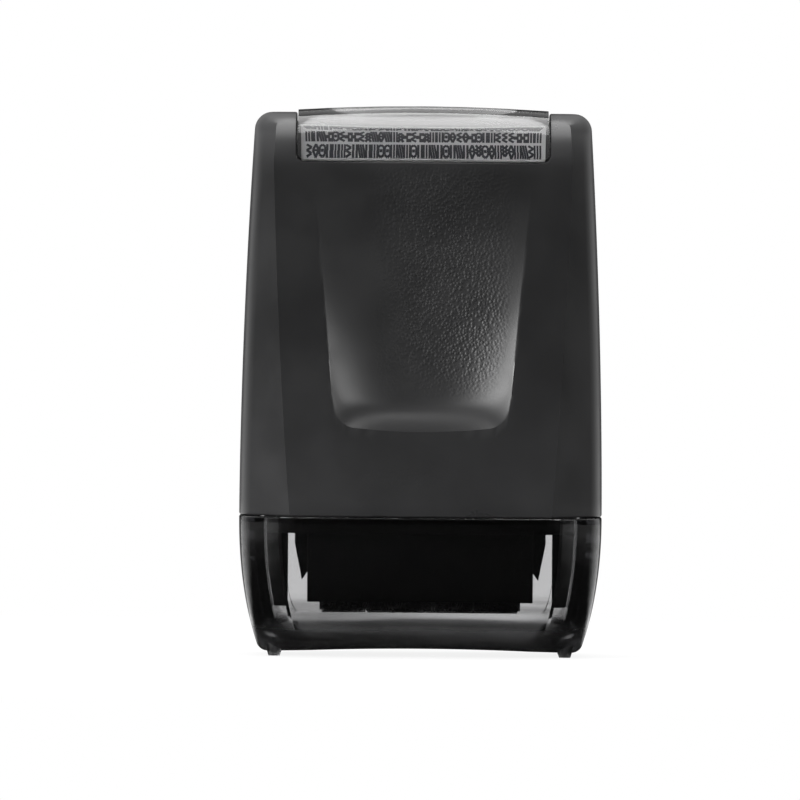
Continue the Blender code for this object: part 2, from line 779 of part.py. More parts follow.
def frame_outline(radius, depth, low, high, steps):
    """Side view of the cartridge: an arc round the print roller under straight walls."""
    centre = PRINT_Z
    lower = math.asin(max((low - centre) / radius, -1.0))
    upper = math.acos(min(depth / radius, 1.0))
    right = []
    for step in range(steps + 1):
        angle = lower + (upper - lower) * step / steps
        right.append((radius * math.cos(angle), centre + radius * math.sin(angle)))
    right.append((depth, high))
    return right + [(-y, z) for y, z in reversed(right)]


def cartridge_frame(material, parent):
    """The hood and cheeks that carry both rollers."""
    outline = frame_outline(HOOD_OUTER, FRAME_DEPTH, LIP_Z, FRAME_TOP, 9)
    piece = prism("cartridge_frame", outline, -FRAME_HALF, FRAME_HALF, crosswise)
    inside = frame_outline(HOOD_INNER, CAGE_DEPTH, LIP_Z - HOOD_WALL / 2, FRAME_TOP + OVERRUN, 9)
    cut(piece, prism("inside", inside, -CAGE_HALF, CAGE_HALF, crosswise))
    reach = FRAME_HALF + OVERRUN
    bore = turned("bore", axle_outline(reach, AXLE_RADIUS + SEAT_GAP), FINE_TURN_STEPS)
    cut(piece, moved(bore, 0.0, 0.0, PRINT_Z))
    seat = INK_AXLE_RADIUS + SEAT_GAP
    slot = turned("slot", axle_outline(reach, seat), FINE_TURN_STEPS)
    cut(piece, moved(slot, 0.0, 0.0, INK_Z))
    cut(piece, block("slot_top", (-reach, -seat, INK_Z), (reach, seat, FRAME_TOP + OVERRUN)))
    peg_hole = turned("peg_hole", axle_outline(reach, PEG_RADIUS + SEAT_GAP), FINE_TURN_STEPS)
    cut(piece, moved(peg_hole, 0.0, 0.0, peg_z()))
    return finish(piece, material, parent)


def axle_outline(half_length, radius):
    """Outline of a plain pin about its axis."""
    return [(-half_length, 0.0), (-half_length, radius), (half_length, radius), (half_length, 0.0)]


def moved(thing, x, y, z):
    """Shifts a mesh within its object, whose origin stays where it is."""
    for vertex in thing.data.vertices:
        vertex.co.x += x
        vertex.co.y += y
        vertex.co.z += z
    return thing


def peg_z():
    """Height of the pegs that hold the ears on the cheeks."""
    return SEAM_Z + EAR_RISE - PEG_DROP


def cartridge_lid(material, parent):
    """The lid that closes the cartridge, with a tongue over each end of the ink roller's axle."""
    low = FRAME_TOP + SEAT_GAP
    piece = block(
        "cartridge_cover", (-FRAME_HALF, -FRAME_DEPTH, low), (FRAME_HALF, FRAME_DEPTH, LID_TOP)
    )
    plug_x, plug_y = CAGE_HALF - SEAT_GAP, CAGE_DEPTH - SEAT_GAP
    plug_z = FRAME_TOP - LID_PLUG
    join(piece, block("plug", (-plug_x, -plug_y, plug_z), (plug_x, plug_y, low + SEAT_GAP)))
    tongue = INK_AXLE_RADIUS
    tip = INK_Z + INK_AXLE_RADIUS + SEAT_GAP
    for side in (-1, 1):
        ends = sorted((side * CAGE_HALF, side * FRAME_HALF))
        join(piece, block("tongue", (ends[0], -tongue, tip), (ends[1], tongue, low + SEAT_GAP)))
    port = [
        (
            INK_PORT_RADIUS * math.cos(2 * math.pi * step / FINE_TURN_STEPS),
            INK_PORT_RADIUS * math.sin(2 * math.pi * step / FINE_TURN_STEPS),
        )
        for step in range(FINE_TURN_STEPS)
    ]
    cut(piece, prism("port", port, plug_z - OVERRUN, LID_TOP + OVERRUN, upright))
    return finish(piece, material, parent)


def cartridge_ear(name, side, material, parent):
    """One pull ear: a prong that is pegged to the cheek and hangs beside the hood."""
    top, tip = SEAM_Z + EAR_RISE, PRINT_Z - EAR_REACH
    outline = [
        (EAR_INNER, top),
        (EAR_OUTER, top),
        (EAR_OUTER, tip + EAR_TAPER),
        (EAR_INNER + EAR_TIP, tip),
        (EAR_INNER, tip + EAR_TIP_RISE),
    ]
    outline = [(side * x, z) for x, z in outline]
    piece = prism(name, outline, -EAR_DEPTH / 2, EAR_DEPTH / 2, frontwise)
    peg = turned("peg", peg_outline(side), FINE_TURN_STEPS)
    join(piece, moved(peg, 0.0, 0.0, peg_z()))
    return finish(piece, material, parent)


def peg_outline(side):
    """Outline of an ear's peg, which ends inside the cheek."""
    inner, outer = sorted((side * (CAGE_HALF + SEAT_GAP), side * (EAR_INNER + EAR_THICKNESS / 2)))
    return [(inner, 0.0), (inner, PEG_RADIUS), (outer, PEG_RADIUS), (outer, 0.0)]


# Rollers, each turned about its own axis


def print_roller(rubber, white, bronze, parent):
    """The printing sleeve, its core, and a flanged bush in each end."""
    half = PRINT_WIDTH / 2
    sleeve = tube_outline(-half, half, PRINT_RADIUS - SLEEVE_WALL, PRINT_RADIUS)
    finish(turned("print_roller_sleeve", sleeve), rubber, parent)
    bore = BUSH_RADIUS + SEAT_GAP
    core = [
        (-half, bore),
        (-half, CORE_RADIUS),
        (half, CORE_RADIUS),
        (half, bore),
        (half - CORE_END, bore),
        (half - CORE_END, CORE_RADIUS - CORE_WALL),
        (CORE_END - half, CORE_RADIUS - CORE_WALL),
        (CORE_END - half, bore),
    ]
    finish(turned("print_roller_core", core), white, parent)
    for name, side in (("print_roller_bush_left", -1), ("print_roller_bush_right", 1)):
        ends = sorted((side * (half - CORE_END), side * (half + BUSH_STAND)))
        bush = tube_outline(ends[0], ends[1], AXLE_RADIUS + RUN_GAP, BUSH_RADIUS)
        finish(turned(name, bush, FINE_TURN_STEPS), bronze, parent)


def ink_roller(foam, white, parent):
    """The foam ink sleeve on its core, with a flange at each end."""
    sleeve = tube_outline(-FOAM_HALF, FOAM_HALF, INK_RADIUS - FOAM_WALL, INK_RADIUS)
    finish(turned("ink_roller_foam", sleeve), foam, parent)
    bore = INK_AXLE_RADIUS + RUN_GAP
    core = tube_outline(-INK_CORE_HALF, INK_CORE_HALF, bore, INK_CORE_RADIUS)
    finish(turned("ink_roller_core", core, FINE_TURN_STEPS), white, parent)
    for name, side in (("ink_roller_flange_left", -1), ("ink_roller_flange_right", 1)):
        ends = sorted((side * (FOAM_HALF + SEAT_GAP), side * INK_CORE_HALF))
        inner = INK_CORE_RADIUS + SEAT_GAP
        ring = tube_outline(ends[0], ends[1], inner, inner + INK_FLANGE_REACH)
        finish(turned(name, ring, FINE_TURN_STEPS), white, parent)


def axles(steel, cartridge):
    """The two steel axles, held in the cheeks."""
    half = FRAME_HALF
    pin = turned("print_roller_axle", axle_outline(half, AXLE_RADIUS), FINE_TURN_STEPS)
    finish(moved(pin, 0.0, 0.0, PRINT_Z), steel, cartridge)
    pin = turned("ink_roller_axle", axle_outline(half, INK_AXLE_RADIUS), FINE_TURN_STEPS)
    finish(moved(pin, 0.0, 0.0, INK_Z), steel, cartridge)


def main():
    """Builds the stamp: the cap carries the cartridge, which carries the rollers and the housing."""
    for thing in list(bpy.data.objects):
        bpy.data.objects.remove(thing, do_unlink=True)
    black = plastic("black_satin_abs", (0.022, 0.022, 0.023), 0.42)
    inner_black = plastic("black_inner_abs", (0.012, 0.012, 0.012), 0.5)
    smoke = plastic("smoke_clear", (0.18, 0.18, 0.19), 0.08, alpha=0.45)
    clear = plastic("clear_window", (0.9, 0.9, 0.9), 0.05, alpha=0.3)
    paper = plastic("printed_card", (0.62, 0.62, 0.63), 0.6)
    rubber = plastic("stamp_rubber", (0.03, 0.03, 0.032), 0.6)
    foam = plastic("ink_foam", (0.015, 0.015, 0.02), 0.9)
    white = plastic("white_acetal", (0.75, 0.75, 0.73), 0.4)
    bronze = plastic("bearing_bronze", (0.45, 0.3, 0.14), 0.35, metallic=1.0)
    steel = plastic("steel", (0.6, 0.6, 0.62), 0.25, metallic=1.0)

    cap_body = axis_empty("cap_body", 0.0)
    cartridge = axis_empty("cartridge_body", 0.0, cap_body)
    housing = axis_empty("housing_body", 0.0, cartridge)
    print_axis = axis_empty("print_roller_body", PRINT_Z, cartridge)
    ink_axis = axis_empty("ink_roller_body", INK_Z, cartridge)

    cap(smoke, cap_body)
    covers(black, housing)
    chassis(inner_black, housing)
    top_end(inner_black, clear, paper, housing)
    cartridge_frame(inner_black, cartridge)
    cartridge_lid(inner_black, cartridge)
    cartridge_ear("cartridge_ear_left", -1, inner_black, cartridge)
    cartridge_ear("cartridge_ear_right", 1, inner_black, cartridge)
    axles(steel, cartridge)
    print_roller(rubber, white, bronze, print_axis)
    ink_roller(foam, white, ink_axis)


main()
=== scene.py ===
"""Looks of a privacy roller stamp: black satin housing, clear top window and smoke-clear cap.

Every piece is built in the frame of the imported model, in metres, with +Z up and the front at -Y.
"""

import json
import logging
import math
import random
from contextlib import contextmanager
from dataclasses import dataclass, field
from enum import Enum
from typing import Callable, Iterator, Sequence

import bmesh
import bpy
from mathutils import Matrix, Vector

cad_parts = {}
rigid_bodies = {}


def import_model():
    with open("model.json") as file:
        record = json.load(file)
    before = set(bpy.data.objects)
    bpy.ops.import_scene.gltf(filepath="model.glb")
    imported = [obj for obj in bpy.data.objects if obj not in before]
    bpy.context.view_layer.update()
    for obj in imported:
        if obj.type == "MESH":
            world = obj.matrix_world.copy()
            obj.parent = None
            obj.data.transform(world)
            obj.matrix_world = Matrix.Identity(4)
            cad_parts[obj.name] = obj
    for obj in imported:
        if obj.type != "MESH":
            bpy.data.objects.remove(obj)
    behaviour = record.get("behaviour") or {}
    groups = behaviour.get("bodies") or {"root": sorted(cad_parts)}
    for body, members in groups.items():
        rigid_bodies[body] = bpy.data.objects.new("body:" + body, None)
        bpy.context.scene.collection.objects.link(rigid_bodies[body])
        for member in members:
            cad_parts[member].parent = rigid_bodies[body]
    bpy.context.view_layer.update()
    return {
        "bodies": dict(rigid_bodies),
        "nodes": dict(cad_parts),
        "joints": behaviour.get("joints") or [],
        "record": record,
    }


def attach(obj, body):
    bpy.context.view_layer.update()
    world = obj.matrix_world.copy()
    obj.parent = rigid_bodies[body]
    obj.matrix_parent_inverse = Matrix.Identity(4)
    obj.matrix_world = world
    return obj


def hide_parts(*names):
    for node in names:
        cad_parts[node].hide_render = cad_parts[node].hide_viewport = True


MM = 0.001
SIDES = ((-1, "left"), (1, "right"))
CHASSIS_EDGE = 0.15 * MM
TOUCHING = 1e-7  # metres between points that count as one
HALF_BOUNCE = 0.5  # parts rays that haven't bounced from those that have

Point2 = tuple[float, float]
Point3 = tuple[float, float, float]
Surface = Callable[[float, float, float], Point3]
Piece = bpy.types.Object
Socket = bpy.types.NodeSocket

log = logging.getLogger("roller_stamp")


# Materials


class Wiring:
    """Adds nodes to a tree, with a method for each kind of arithmetic."""

    def __init__(self, tree: bpy.types.NodeTree) -> None:
        """Wires the given tree."""
        self.tree = tree

    def node(self, kind: str, **settings: object) -> bpy.types.Node:
        """Adds a node.

        Args:
            kind: The node's type.
            settings: Values for its properties.

        Returns:
            The node.
        """
        made = self.tree.nodes.new(kind)
        for name, value in settings.items():
            setattr(made, name, value)
        return made

    def feed(self, node: bpy.types.Node, socket: str | int, value: object) -> None:
        """Links a socket to an input, or sets the input to a constant.

        Args:
            node: The node.
            socket: Its input, by name or number.
            value: A socket or a constant.
        """
        if isinstance(value, Socket):
            self.tree.links.new(value, node.inputs[socket])
        else:
            node.inputs[socket].default_value = value

    def math(self, operation: str, first: object, second: object = 0.0) -> Socket:
        """One step of arithmetic on sockets or constants.

        Args:
            operation: Name of the operation.
            first: A socket or a constant.
            second: The same.

        Returns:
            The result.
        """
        made = self.node("ShaderNodeMath", operation=operation)
        self.feed(made, 0, first)
        self.feed(made, 1, second)
        return made.outputs[0]

    def spread(
        self, value: object, low: float, high: float, to_low: float, to_high: float
    ) -> Socket:
        """Maps a range of values smoothly to another range, and holds it there.

        Args:
            value: What is mapped.
            low: Start of the range it comes from.
            high: End of the range it comes from.
            to_low: What low becomes.
            to_high: What high becomes.

        Returns:
            The mapped value.
        """
        made = self.node("ShaderNodeMapRange", interpolation_type="SMOOTHSTEP")
        for socket, number in enumerate((value, low, high, to_low, to_high)):
            self.feed(made, socket, number)
        return made.outputs[0]


class Graph(Wiring):
    """A node material under construction."""

    def __init__(self, name: str) -> None:
        """Starts a material that holds a Principled shader and its output.

        Args:
            name: The material's name.
        """
        self.material = bpy.data.materials.new(name)
        self.material.use_nodes = True
        super().__init__(self.material.node_tree)
        self.shader = self.tree.nodes["Principled BSDF"]
        self.output = self.tree.nodes["Material Output"]
        self.place = self.node("ShaderNodeTexCoord").outputs["Object"]

    def set(self, **values: object) -> None:
        """Sets constants on the Principled shader's own sockets, with _ for a space in a name."""
        for name, value in values.items():
            self.shader.inputs[name.replace("_", " ")].default_value = value

    def link(self, value: Socket, socket: str) -> None:
        """Links a value to one of the Principled shader's inputs."""
        self.feed(self.shader, socket, value)

    def stretched(self, x: float, y: float, z: float) -> Socket:
        """The object's coordinates, multiplied along each axis.

        Args:
            x: Factor along X.
            y: Factor along Y.
            z: Factor along Z.

        Returns:
            The multiplied coordinates.
        """
        node = self.node("ShaderNodeMapping")
        self.feed(node, "Scale", (x, y, z))
        self.feed(node, "Vector", self.place)
        return node.outputs["Vector"]

    def noise(self, size: float, detail: float = 2.0, where: Socket | None = None) -> Socket:
        """Noise whose blotches are about this size.

        Args:
            size: Size of one blotch, in metres.
            detail: How many finer layers it has.
            where: Coordinates, if not the object's own.

        Returns:
            The noise's value, about 0.5 on average.
        """
        node = self.node("ShaderNodeTexNoise")
        self.feed(node, "Scale", 1.0 / size)
        self.feed(node, "Detail", detail)
        self.feed(node, "Vector", where or self.place)
        return node.outputs["Fac"]

    def pebbles(self, size: float, smoothness: float = 0.4) -> Socket:
        """Distance to the nearest of many scattered points, for a pebbled grain.

        Args:
            size: Distance between pebbles, in metres.
            smoothness: How far they run together.

        Returns:
            The distance, which is 0 at a pebble's middle.
        """
        node = self.node("ShaderNodeTexVoronoi", feature="SMOOTH_F1")
        self.feed(node, "Scale", 1.0 / size)
        self.feed(node, "Smoothness", smoothness)
        self.feed(node, "Vector", self.place)
        return node.outputs["Distance"]

    def attribute(self, name: str) -> Socket:
        """A number that the mesh carries at each point.

        Args:
            name: The attribute's name.

        Returns:
            Its value.
        """
        return self.node("ShaderNodeAttribute", attribute_name=name).outputs["Fac"]

    def blend(self, share: object, first: object, second: Point3) -> Socket:
        """A mix of two colours.

        Args:
            share: How much of the second colour there is.
            first: The first colour, or a socket that gives it.
            second: The second colour.

        Returns:
            The mixed colour.
        """
        node = self.node("ShaderNodeMix", data_type="RGBA")
        self.feed(node, "Factor", share)
        self.feed(node, 6, (*first, 1.0) if isinstance(first, tuple) else first)
        self.feed(node, 7, (*second, 1.0))
        return node.outputs[2]

    def bump(
        self, height: Socket, depth: float, strength: object = 1.0, over: Socket | None = None
    ) -> Socket:
        """Relief of a given depth.

        Args:
            height: The relief, from 0 to 1.
            depth: Its real depth, in metres.
            strength: How much of it shows.
            over: The normal that it is laid over.

        Returns:
            The bumped normal.
        """
        node = self.node("ShaderNodeBump")
        self.feed(node, "Distance", depth)
        self.feed(node, "Strength", strength)
        self.feed(node, "Height", height)
        if over is not None:
            self.feed(node, "Normal", over)
        return node.outputs["Normal"]


@dataclass(frozen=True)
class MouldedPlastic:
    """Moulded plastic with a fine spark texture, slightly polished along its edges, which are
    painted lighter as rubbed wear and as a highlight.
    """

    name: str
    colour: Point3
    roughness: float = 0.45
    specular: float = 0.35
    spark_size: float = 0.16 * MM
    spark_depth: float = 0.006 * MM
    grain_size: float = 0.38 * MM
    grain_depth: float = 0.0
    grip_roughness: float = 0.0
    # how much lighter the edges are painted, as rubbed wear and as a painted highlight
    edge_highlight_gain: float = 2.2
    low_painted_light: float = 0.0  # how much lighter its lower part is painted, as painted light
    low_painted_light_span: Point2 = (18 * MM, 45 * MM)
    top_painted_light: float = 0.0  # how much lighter its top is painted, as painted light from above
    top_painted_light_span: Point2 = (59 * MM, 66.5 * MM)
    cloud_size: float = 9 * MM
    scuff_size: float = 0.5 * MM

    def material(self) -> bpy.types.Material:
        """Builds the material.

        Returns:
            A material that reads the mesh's edge and grain attributes.
        """
        graph = Graph(self.name)
        graph.set(Specular_IOR_Level=self.specular, IOR=1.46)
        cloud = graph.noise(self.cloud_size, 3.0)
        fine = graph.noise(self.scuff_size, 2.0)
        # The edges are painted lighter, partly as rubbed wear and partly as a painted highlight,
        # and made glossier.
        edge = graph.attribute("edge")
        wear_and_highlight = graph.math("MULTIPLY", edge, graph.spread(fine, 0.35, 0.65, 0.4, 1.0))
        light = tuple(min(c * self.edge_highlight_gain, 1.0) for c in self.colour)
        dark = tuple(c * 0.88 for c in self.colour)
        body = graph.blend(cloud, dark, tuple(c * 1.12 for c in self.colour))
        # Painted light: the lower part and the top are made lighter.
        if self.low_painted_light:
            body = self.with_painted_light(graph, body)
        wear_and_highlight_share = graph.math("MULTIPLY", wear_and_highlight, 0.6)
        graph.link(graph.blend(wear_and_highlight_share, body, light), "Base Color")
        rough = graph.spread(cloud, 0.3, 0.7, self.roughness - 0.04, self.roughness + 0.05)
        rough = graph.math("SUBTRACT", rough, graph.math("MULTIPLY", wear_and_highlight, 0.10))
        if self.grip_roughness:
            matt = self.grip_roughness - self.roughness
            rough = graph.math("ADD", rough, graph.math("MULTIPLY", graph.attribute("grip"), matt))
        graph.link(rough, "Roughness")
        normal = graph.bump(graph.noise(self.spark_size, 3.0), self.spark_depth)
        if self.grain_depth:
            grain = graph.attribute("grain")
            pebbles = graph.spread(graph.pebbles(self.grain_size), 0.1, 0.75, 1.0, 0.0)
            normal = graph.bump(pebbles, self.grain_depth, grain, normal)
        graph.link(normal, "Normal")
        return graph.material

    def with_painted_light(self, graph: Graph, body: Socket) -> Socket:
        """Paints light on a piece: its colour is made lighter low down and at its top.

        Args:
            graph: The material under construction.
            body: The plain colour.

        Returns:
            The colour with its painted light.
        """
        split = graph.node("ShaderNodeSeparateXYZ")
        graph.feed(split, 0, graph.place)
        low = graph.spread(split.outputs["Z"], *self.low_painted_light_span, 1 + self.low_painted_light, 1.0)
        high = graph.spread(split.outputs["Z"], *self.top_painted_light_span, 0.0, self.top_painted_light)
        gain = graph.math("ADD", low, high)
        paler = graph.node("ShaderNodeVectorMath", operation="SCALE")
        graph.feed(paler, 0, body)
        graph.feed(paler, "Scale", gain)
        return paler.outputs[0]


@dataclass(frozen=True)
class ClearPlastic:
    """Clear or smoke-tinted plastic, whose tint deepens with its thickness."""

    name: str
    tint: Point3
    density: float
    roughness: float = 0.03
    flow_depth: float = 0.07 * MM
    slant_painted_shade: float = 0.15  # painted shade: what passes where the surface is seen along its face, darkening its silhouettes
    slant_span: Point2 = (0.55, 0.92)
    frost: float = 0.0  # how matt it is along its foot
    frost_span: Point2 = (2.5 * MM, 6 * MM)
    streaks: float = 0.0  # how much the flow lines along its foot hold back
    streak_span: Point2 = (5 * MM, 7.5 * MM)
    streak_size: float = 1.3 * MM
    smear_size: float = 4 * MM
    flow_size: float = 4 * MM

    def material(self) -> bpy.types.Material:
        """Builds the material.

        Returns:
            A clear material with absorption inside it and faint handling marks.
        """
        graph = Graph(self.name)
        graph.set(IOR=1.49, Transmission_Weight=1.0)
        # Painted shade: the colour darkens where the surface is seen along its face.
        slant = graph.node("ShaderNodeLayerWeight")
        graph.feed(slant, "Blend", 0.5)
        clear = graph.spread(slant.outputs["Facing"], *self.slant_span, 1.0, self.slant_painted_shade)
        smear = graph.noise(self.smear_size, 4.0)
        edge = graph.attribute("edge")
        rough = graph.spread(smear, 0.35, 0.75, self.roughness * 0.5, self.roughness * 1.6)
        rough = graph.math("ADD", rough, graph.math("MULTIPLY", edge, 0.12))
        if self.frost:
            split = graph.node("ShaderNodeSeparateXYZ")
            graph.feed(split, 0, graph.place)
            matt = graph.spread(split.outputs["Z"], *self.frost_span, self.frost, 0.0)
            rough = graph.math("ADD", rough, matt)
            lines = graph.noise(self.streak_size, 0.0, graph.stretched(0.04, 0.1, 1.0))
            lines = graph.spread(lines, 0.4, 0.6, 0.0, self.streaks)
            low = graph.spread(split.outputs["Z"], *self.streak_span, 1.0, 0.0)
            held = graph.math("MULTIPLY", lines, low)
            clear = graph.math("MULTIPLY", clear, graph.math("SUBTRACT", 1.0, held))
        graph.link(clear, "Base Color")
        graph.link(rough, "Roughness")
        flow = graph.noise(self.flow_size, 1.0, graph.stretched(0.12, 0.4, 1.5))
        graph.link(graph.bump(flow, self.flow_depth), "Normal")
        if self.density:
            absorption = graph.node("ShaderNodeVolumeAbsorption")
            graph.feed(absorption, "Color", (*self.tint, 1.0))
            graph.feed(absorption, "Density", self.density)
            graph.feed(graph.output, "Volume", absorption.outputs[0])
        return graph.material


@dataclass(frozen=True)
class PrintedSurface:
    """Card stock or a dried ink film, with fibres and a little mottle."""

    name: str
    colour: Point3
    roughness: float
    fibre_size: float = 0.3 * MM
    fibre_depth: float = 0.004 * MM
    mottle_size: float = 2.5 * MM

    def material(self) -> bpy.types.Material:
        """Builds the material.

        Returns:
            A material with fibres in its relief and mottle in its colour.
        """
        graph = Graph(self.name)
        graph.set(Specular_IOR_Level=0.4)
        fibres = graph.noise(self.fibre_size, 5.0, graph.stretched(0.25, 1.0, 1.0))
        mottle = graph.noise(self.mottle_size, 2.0)
        low, high = (tuple(c * k for c in self.colour) for k in (0.9, 1.08))
        graph.link(graph.blend(mottle, low, high), "Base Color")
        rough = graph.spread(fibres, 0.3, 0.7, self.roughness - 0.07, self.roughness + 0.07)
        graph.link(rough, "Roughness")
        graph.link(graph.bump(fibres, self.fibre_depth), "Normal")
        return graph.material


@dataclass(frozen=True)
class InkedSurface:
    """Rubber or foam that has soaked up ink: dark, with damp patches."""

    name: str
    colour: Point3
    cell_size: float
    cell_depth: float
    dry: float = 0.62
    damp: float = 0.3
    patch_size: float = 3 * MM

    def material(self) -> bpy.types.Material:
        """Builds the material.

        Returns:
            A material with open cells and damp patches.
        """
        graph = Graph(self.name)
        graph.set(Specular_IOR_Level=0.45)
        patches = graph.noise(self.patch_size, 3.0)
        low, high = (tuple(c * k for c in self.colour) for k in (0.7, 1.3))
        graph.link(graph.blend(patches, low, high), "Base Color")
        graph.link(graph.spread(patches, 0.38, 0.62, self.damp, self.dry), "Roughness")
        cells = graph.spread(graph.pebbles(self.cell_size, 0.15), 0.0, 0.7, 0.0, 1.0)
        graph.link(graph.bump(cells, self.cell_depth), "Normal")
        return graph.material


@dataclass(frozen=True)
class TurnedMetal:
    """Ground or turned metal, with fine rings round the X axis and a dulled edge."""

    name: str
    colour: Point3
    roughness: float
    ring_size: float = 0.12 * MM
    ring_depth: float = 0.004 * MM
    tarnish_size: float = 2 * MM

    def material(self) -> bpy.types.Material:
        """Builds the material.

        Returns:
            A material with turning rings and tarnish.
        """
        graph = Graph(self.name)
        graph.set(Metallic=1.0)
        rings = graph.noise(self.ring_size, 2.0, graph.stretched(1.0, 0.05, 0.05))
        tarnish = graph.noise(self.tarnish_size, 3.0)
        low, high = (tuple(c * k for c in self.colour) for k in (0.82, 1.05))
        graph.link(graph.blend(tarnish, low, high), "Base Color")
        rough = graph.spread(rings, 0.3, 0.7, self.roughness - 0.06, self.roughness + 0.1)
        graph.link(rough, "Roughness")
        graph.link(graph.bump(rings, self.ring_depth), "Normal")
        return graph.material


class Finish(Enum):
    """The finishes of the stamp, each with the record's slot that it stands for."""

    HOUSING = (
        "black_satin_abs",
        MouldedPlastic(
            "satin_black",
            (0.009, 0.009, 0.0093),
            0.32,
            0.5,
            grain_depth=0.045 * MM,
            grip_roughness=0.44,
            low_painted_light=0.7,
            top_painted_light=2.0,
        ),
    )
    INNER = (
        "black_inner_abs",
        MouldedPlastic("inner_black", (0.0025, 0.0025, 0.0025), 0.5, 0.12, edge_highlight_gain=1.6),
    )
    SMOKE = (
        "smoke_clear",
        ClearPlastic("smoke_clear", (0.03, 0.03, 0.05), 190.0, frost=0.3, streaks=0.45),
    )
    WINDOW = ("clear_window", ClearPlastic("clear_window", (0.9, 0.9, 0.9), 0.0, 0.02, 0.004 * MM))
    CARD = ("printed_card", PrintedSurface("silver_card", (0.62, 0.62, 0.63), 0.42))
    CARD_INK = ("printed_card", PrintedSurface("navy_ink", (0.012, 0.013, 0.022), 0.4))
    RUBBER = (
        "stamp_rubber",
        InkedSurface("inked_rubber", (0.01, 0.01, 0.011), 0.2 * MM, 0.01 * MM),
    )
    FOAM = (
        "ink_foam",
        InkedSurface("inked_foam", (0.007, 0.007, 0.01), 0.35 * MM, 0.12 * MM, 0.95, 0.6),
    )
    ACETAL = (
        "white_acetal",
        MouldedPlastic("white_acetal", (0.72, 0.72, 0.7), 0.38, 0.5, edge_highlight_gain=1.08),
    )
    BRONZE = ("bearing_bronze", TurnedMetal("bronze", (0.5, 0.33, 0.16), 0.32))
    STEEL = ("steel", TurnedMetal("steel", (0.62, 0.62, 0.64), 0.22))


class Paintbox:
    """Makes each finish's material once, and puts it on pieces."""

    def __init__(self) -> None:
        """Starts with no material made."""
        self.made: dict[Finish, bpy.types.Material] = {}

    def dress(self, piece: Piece, finish: Finish) -> Piece:
        """Gives a piece its material.

        Args:
            piece: The object to dress.
            finish: One of the stamp's finishes.

        Returns:
            The same object.
        """
        slot, recipe = finish.value
        if finish not in self.made:
            self.made[finish] = recipe.material()
        piece.data.materials.clear()
        piece.data.materials.append(self.made[finish])
        return piece


# Shape of the housing and the cap


def blended_corner(
    before: Point2, corner: Point2, after: Point2, reach: float, steps: int
) -> list[Point2]:
    """Rounds one corner of an outline.

    Args:
        before: The outline's point before the corner.
        corner: The corner.
        after: The outline's point after it.
        reach: How far the round starts from the corner.
        steps: How many pieces the round has.

    Returns:
        Points along the round.
    """
    ends = []
    for other in (before, after):
        span = max(math.dist(corner, other), 1e-9)
        share = min(reach / span, 0.45)
        ends.append([c + (o - c) * share for c, o in zip(corner, other)])
    points = []
    for step in range(steps + 1):
        t = step / steps
        weights = ((1 - t) ** 2, 2 * t * (1 - t), t**2)
        corners = (ends[0], corner, ends[1])
        points.append(tuple(sum(w * p[i] for w, p in zip(weights, corners)) for i in (0, 1)))
    return points


def rolled(distance: float, radius: float) -> float:
    """How far a surface has rolled in at a distance from an edge of this radius.

    Args:
        distance: Distance from the edge.
        radius: Radius of its round.

    Returns:
        The depth that the round takes off.
    """
    if distance >= radius:
        return 0.0
    reach = radius - max(distance, 0.0)
    return radius - math.sqrt(max(radius**2 - reach**2, 0.0))


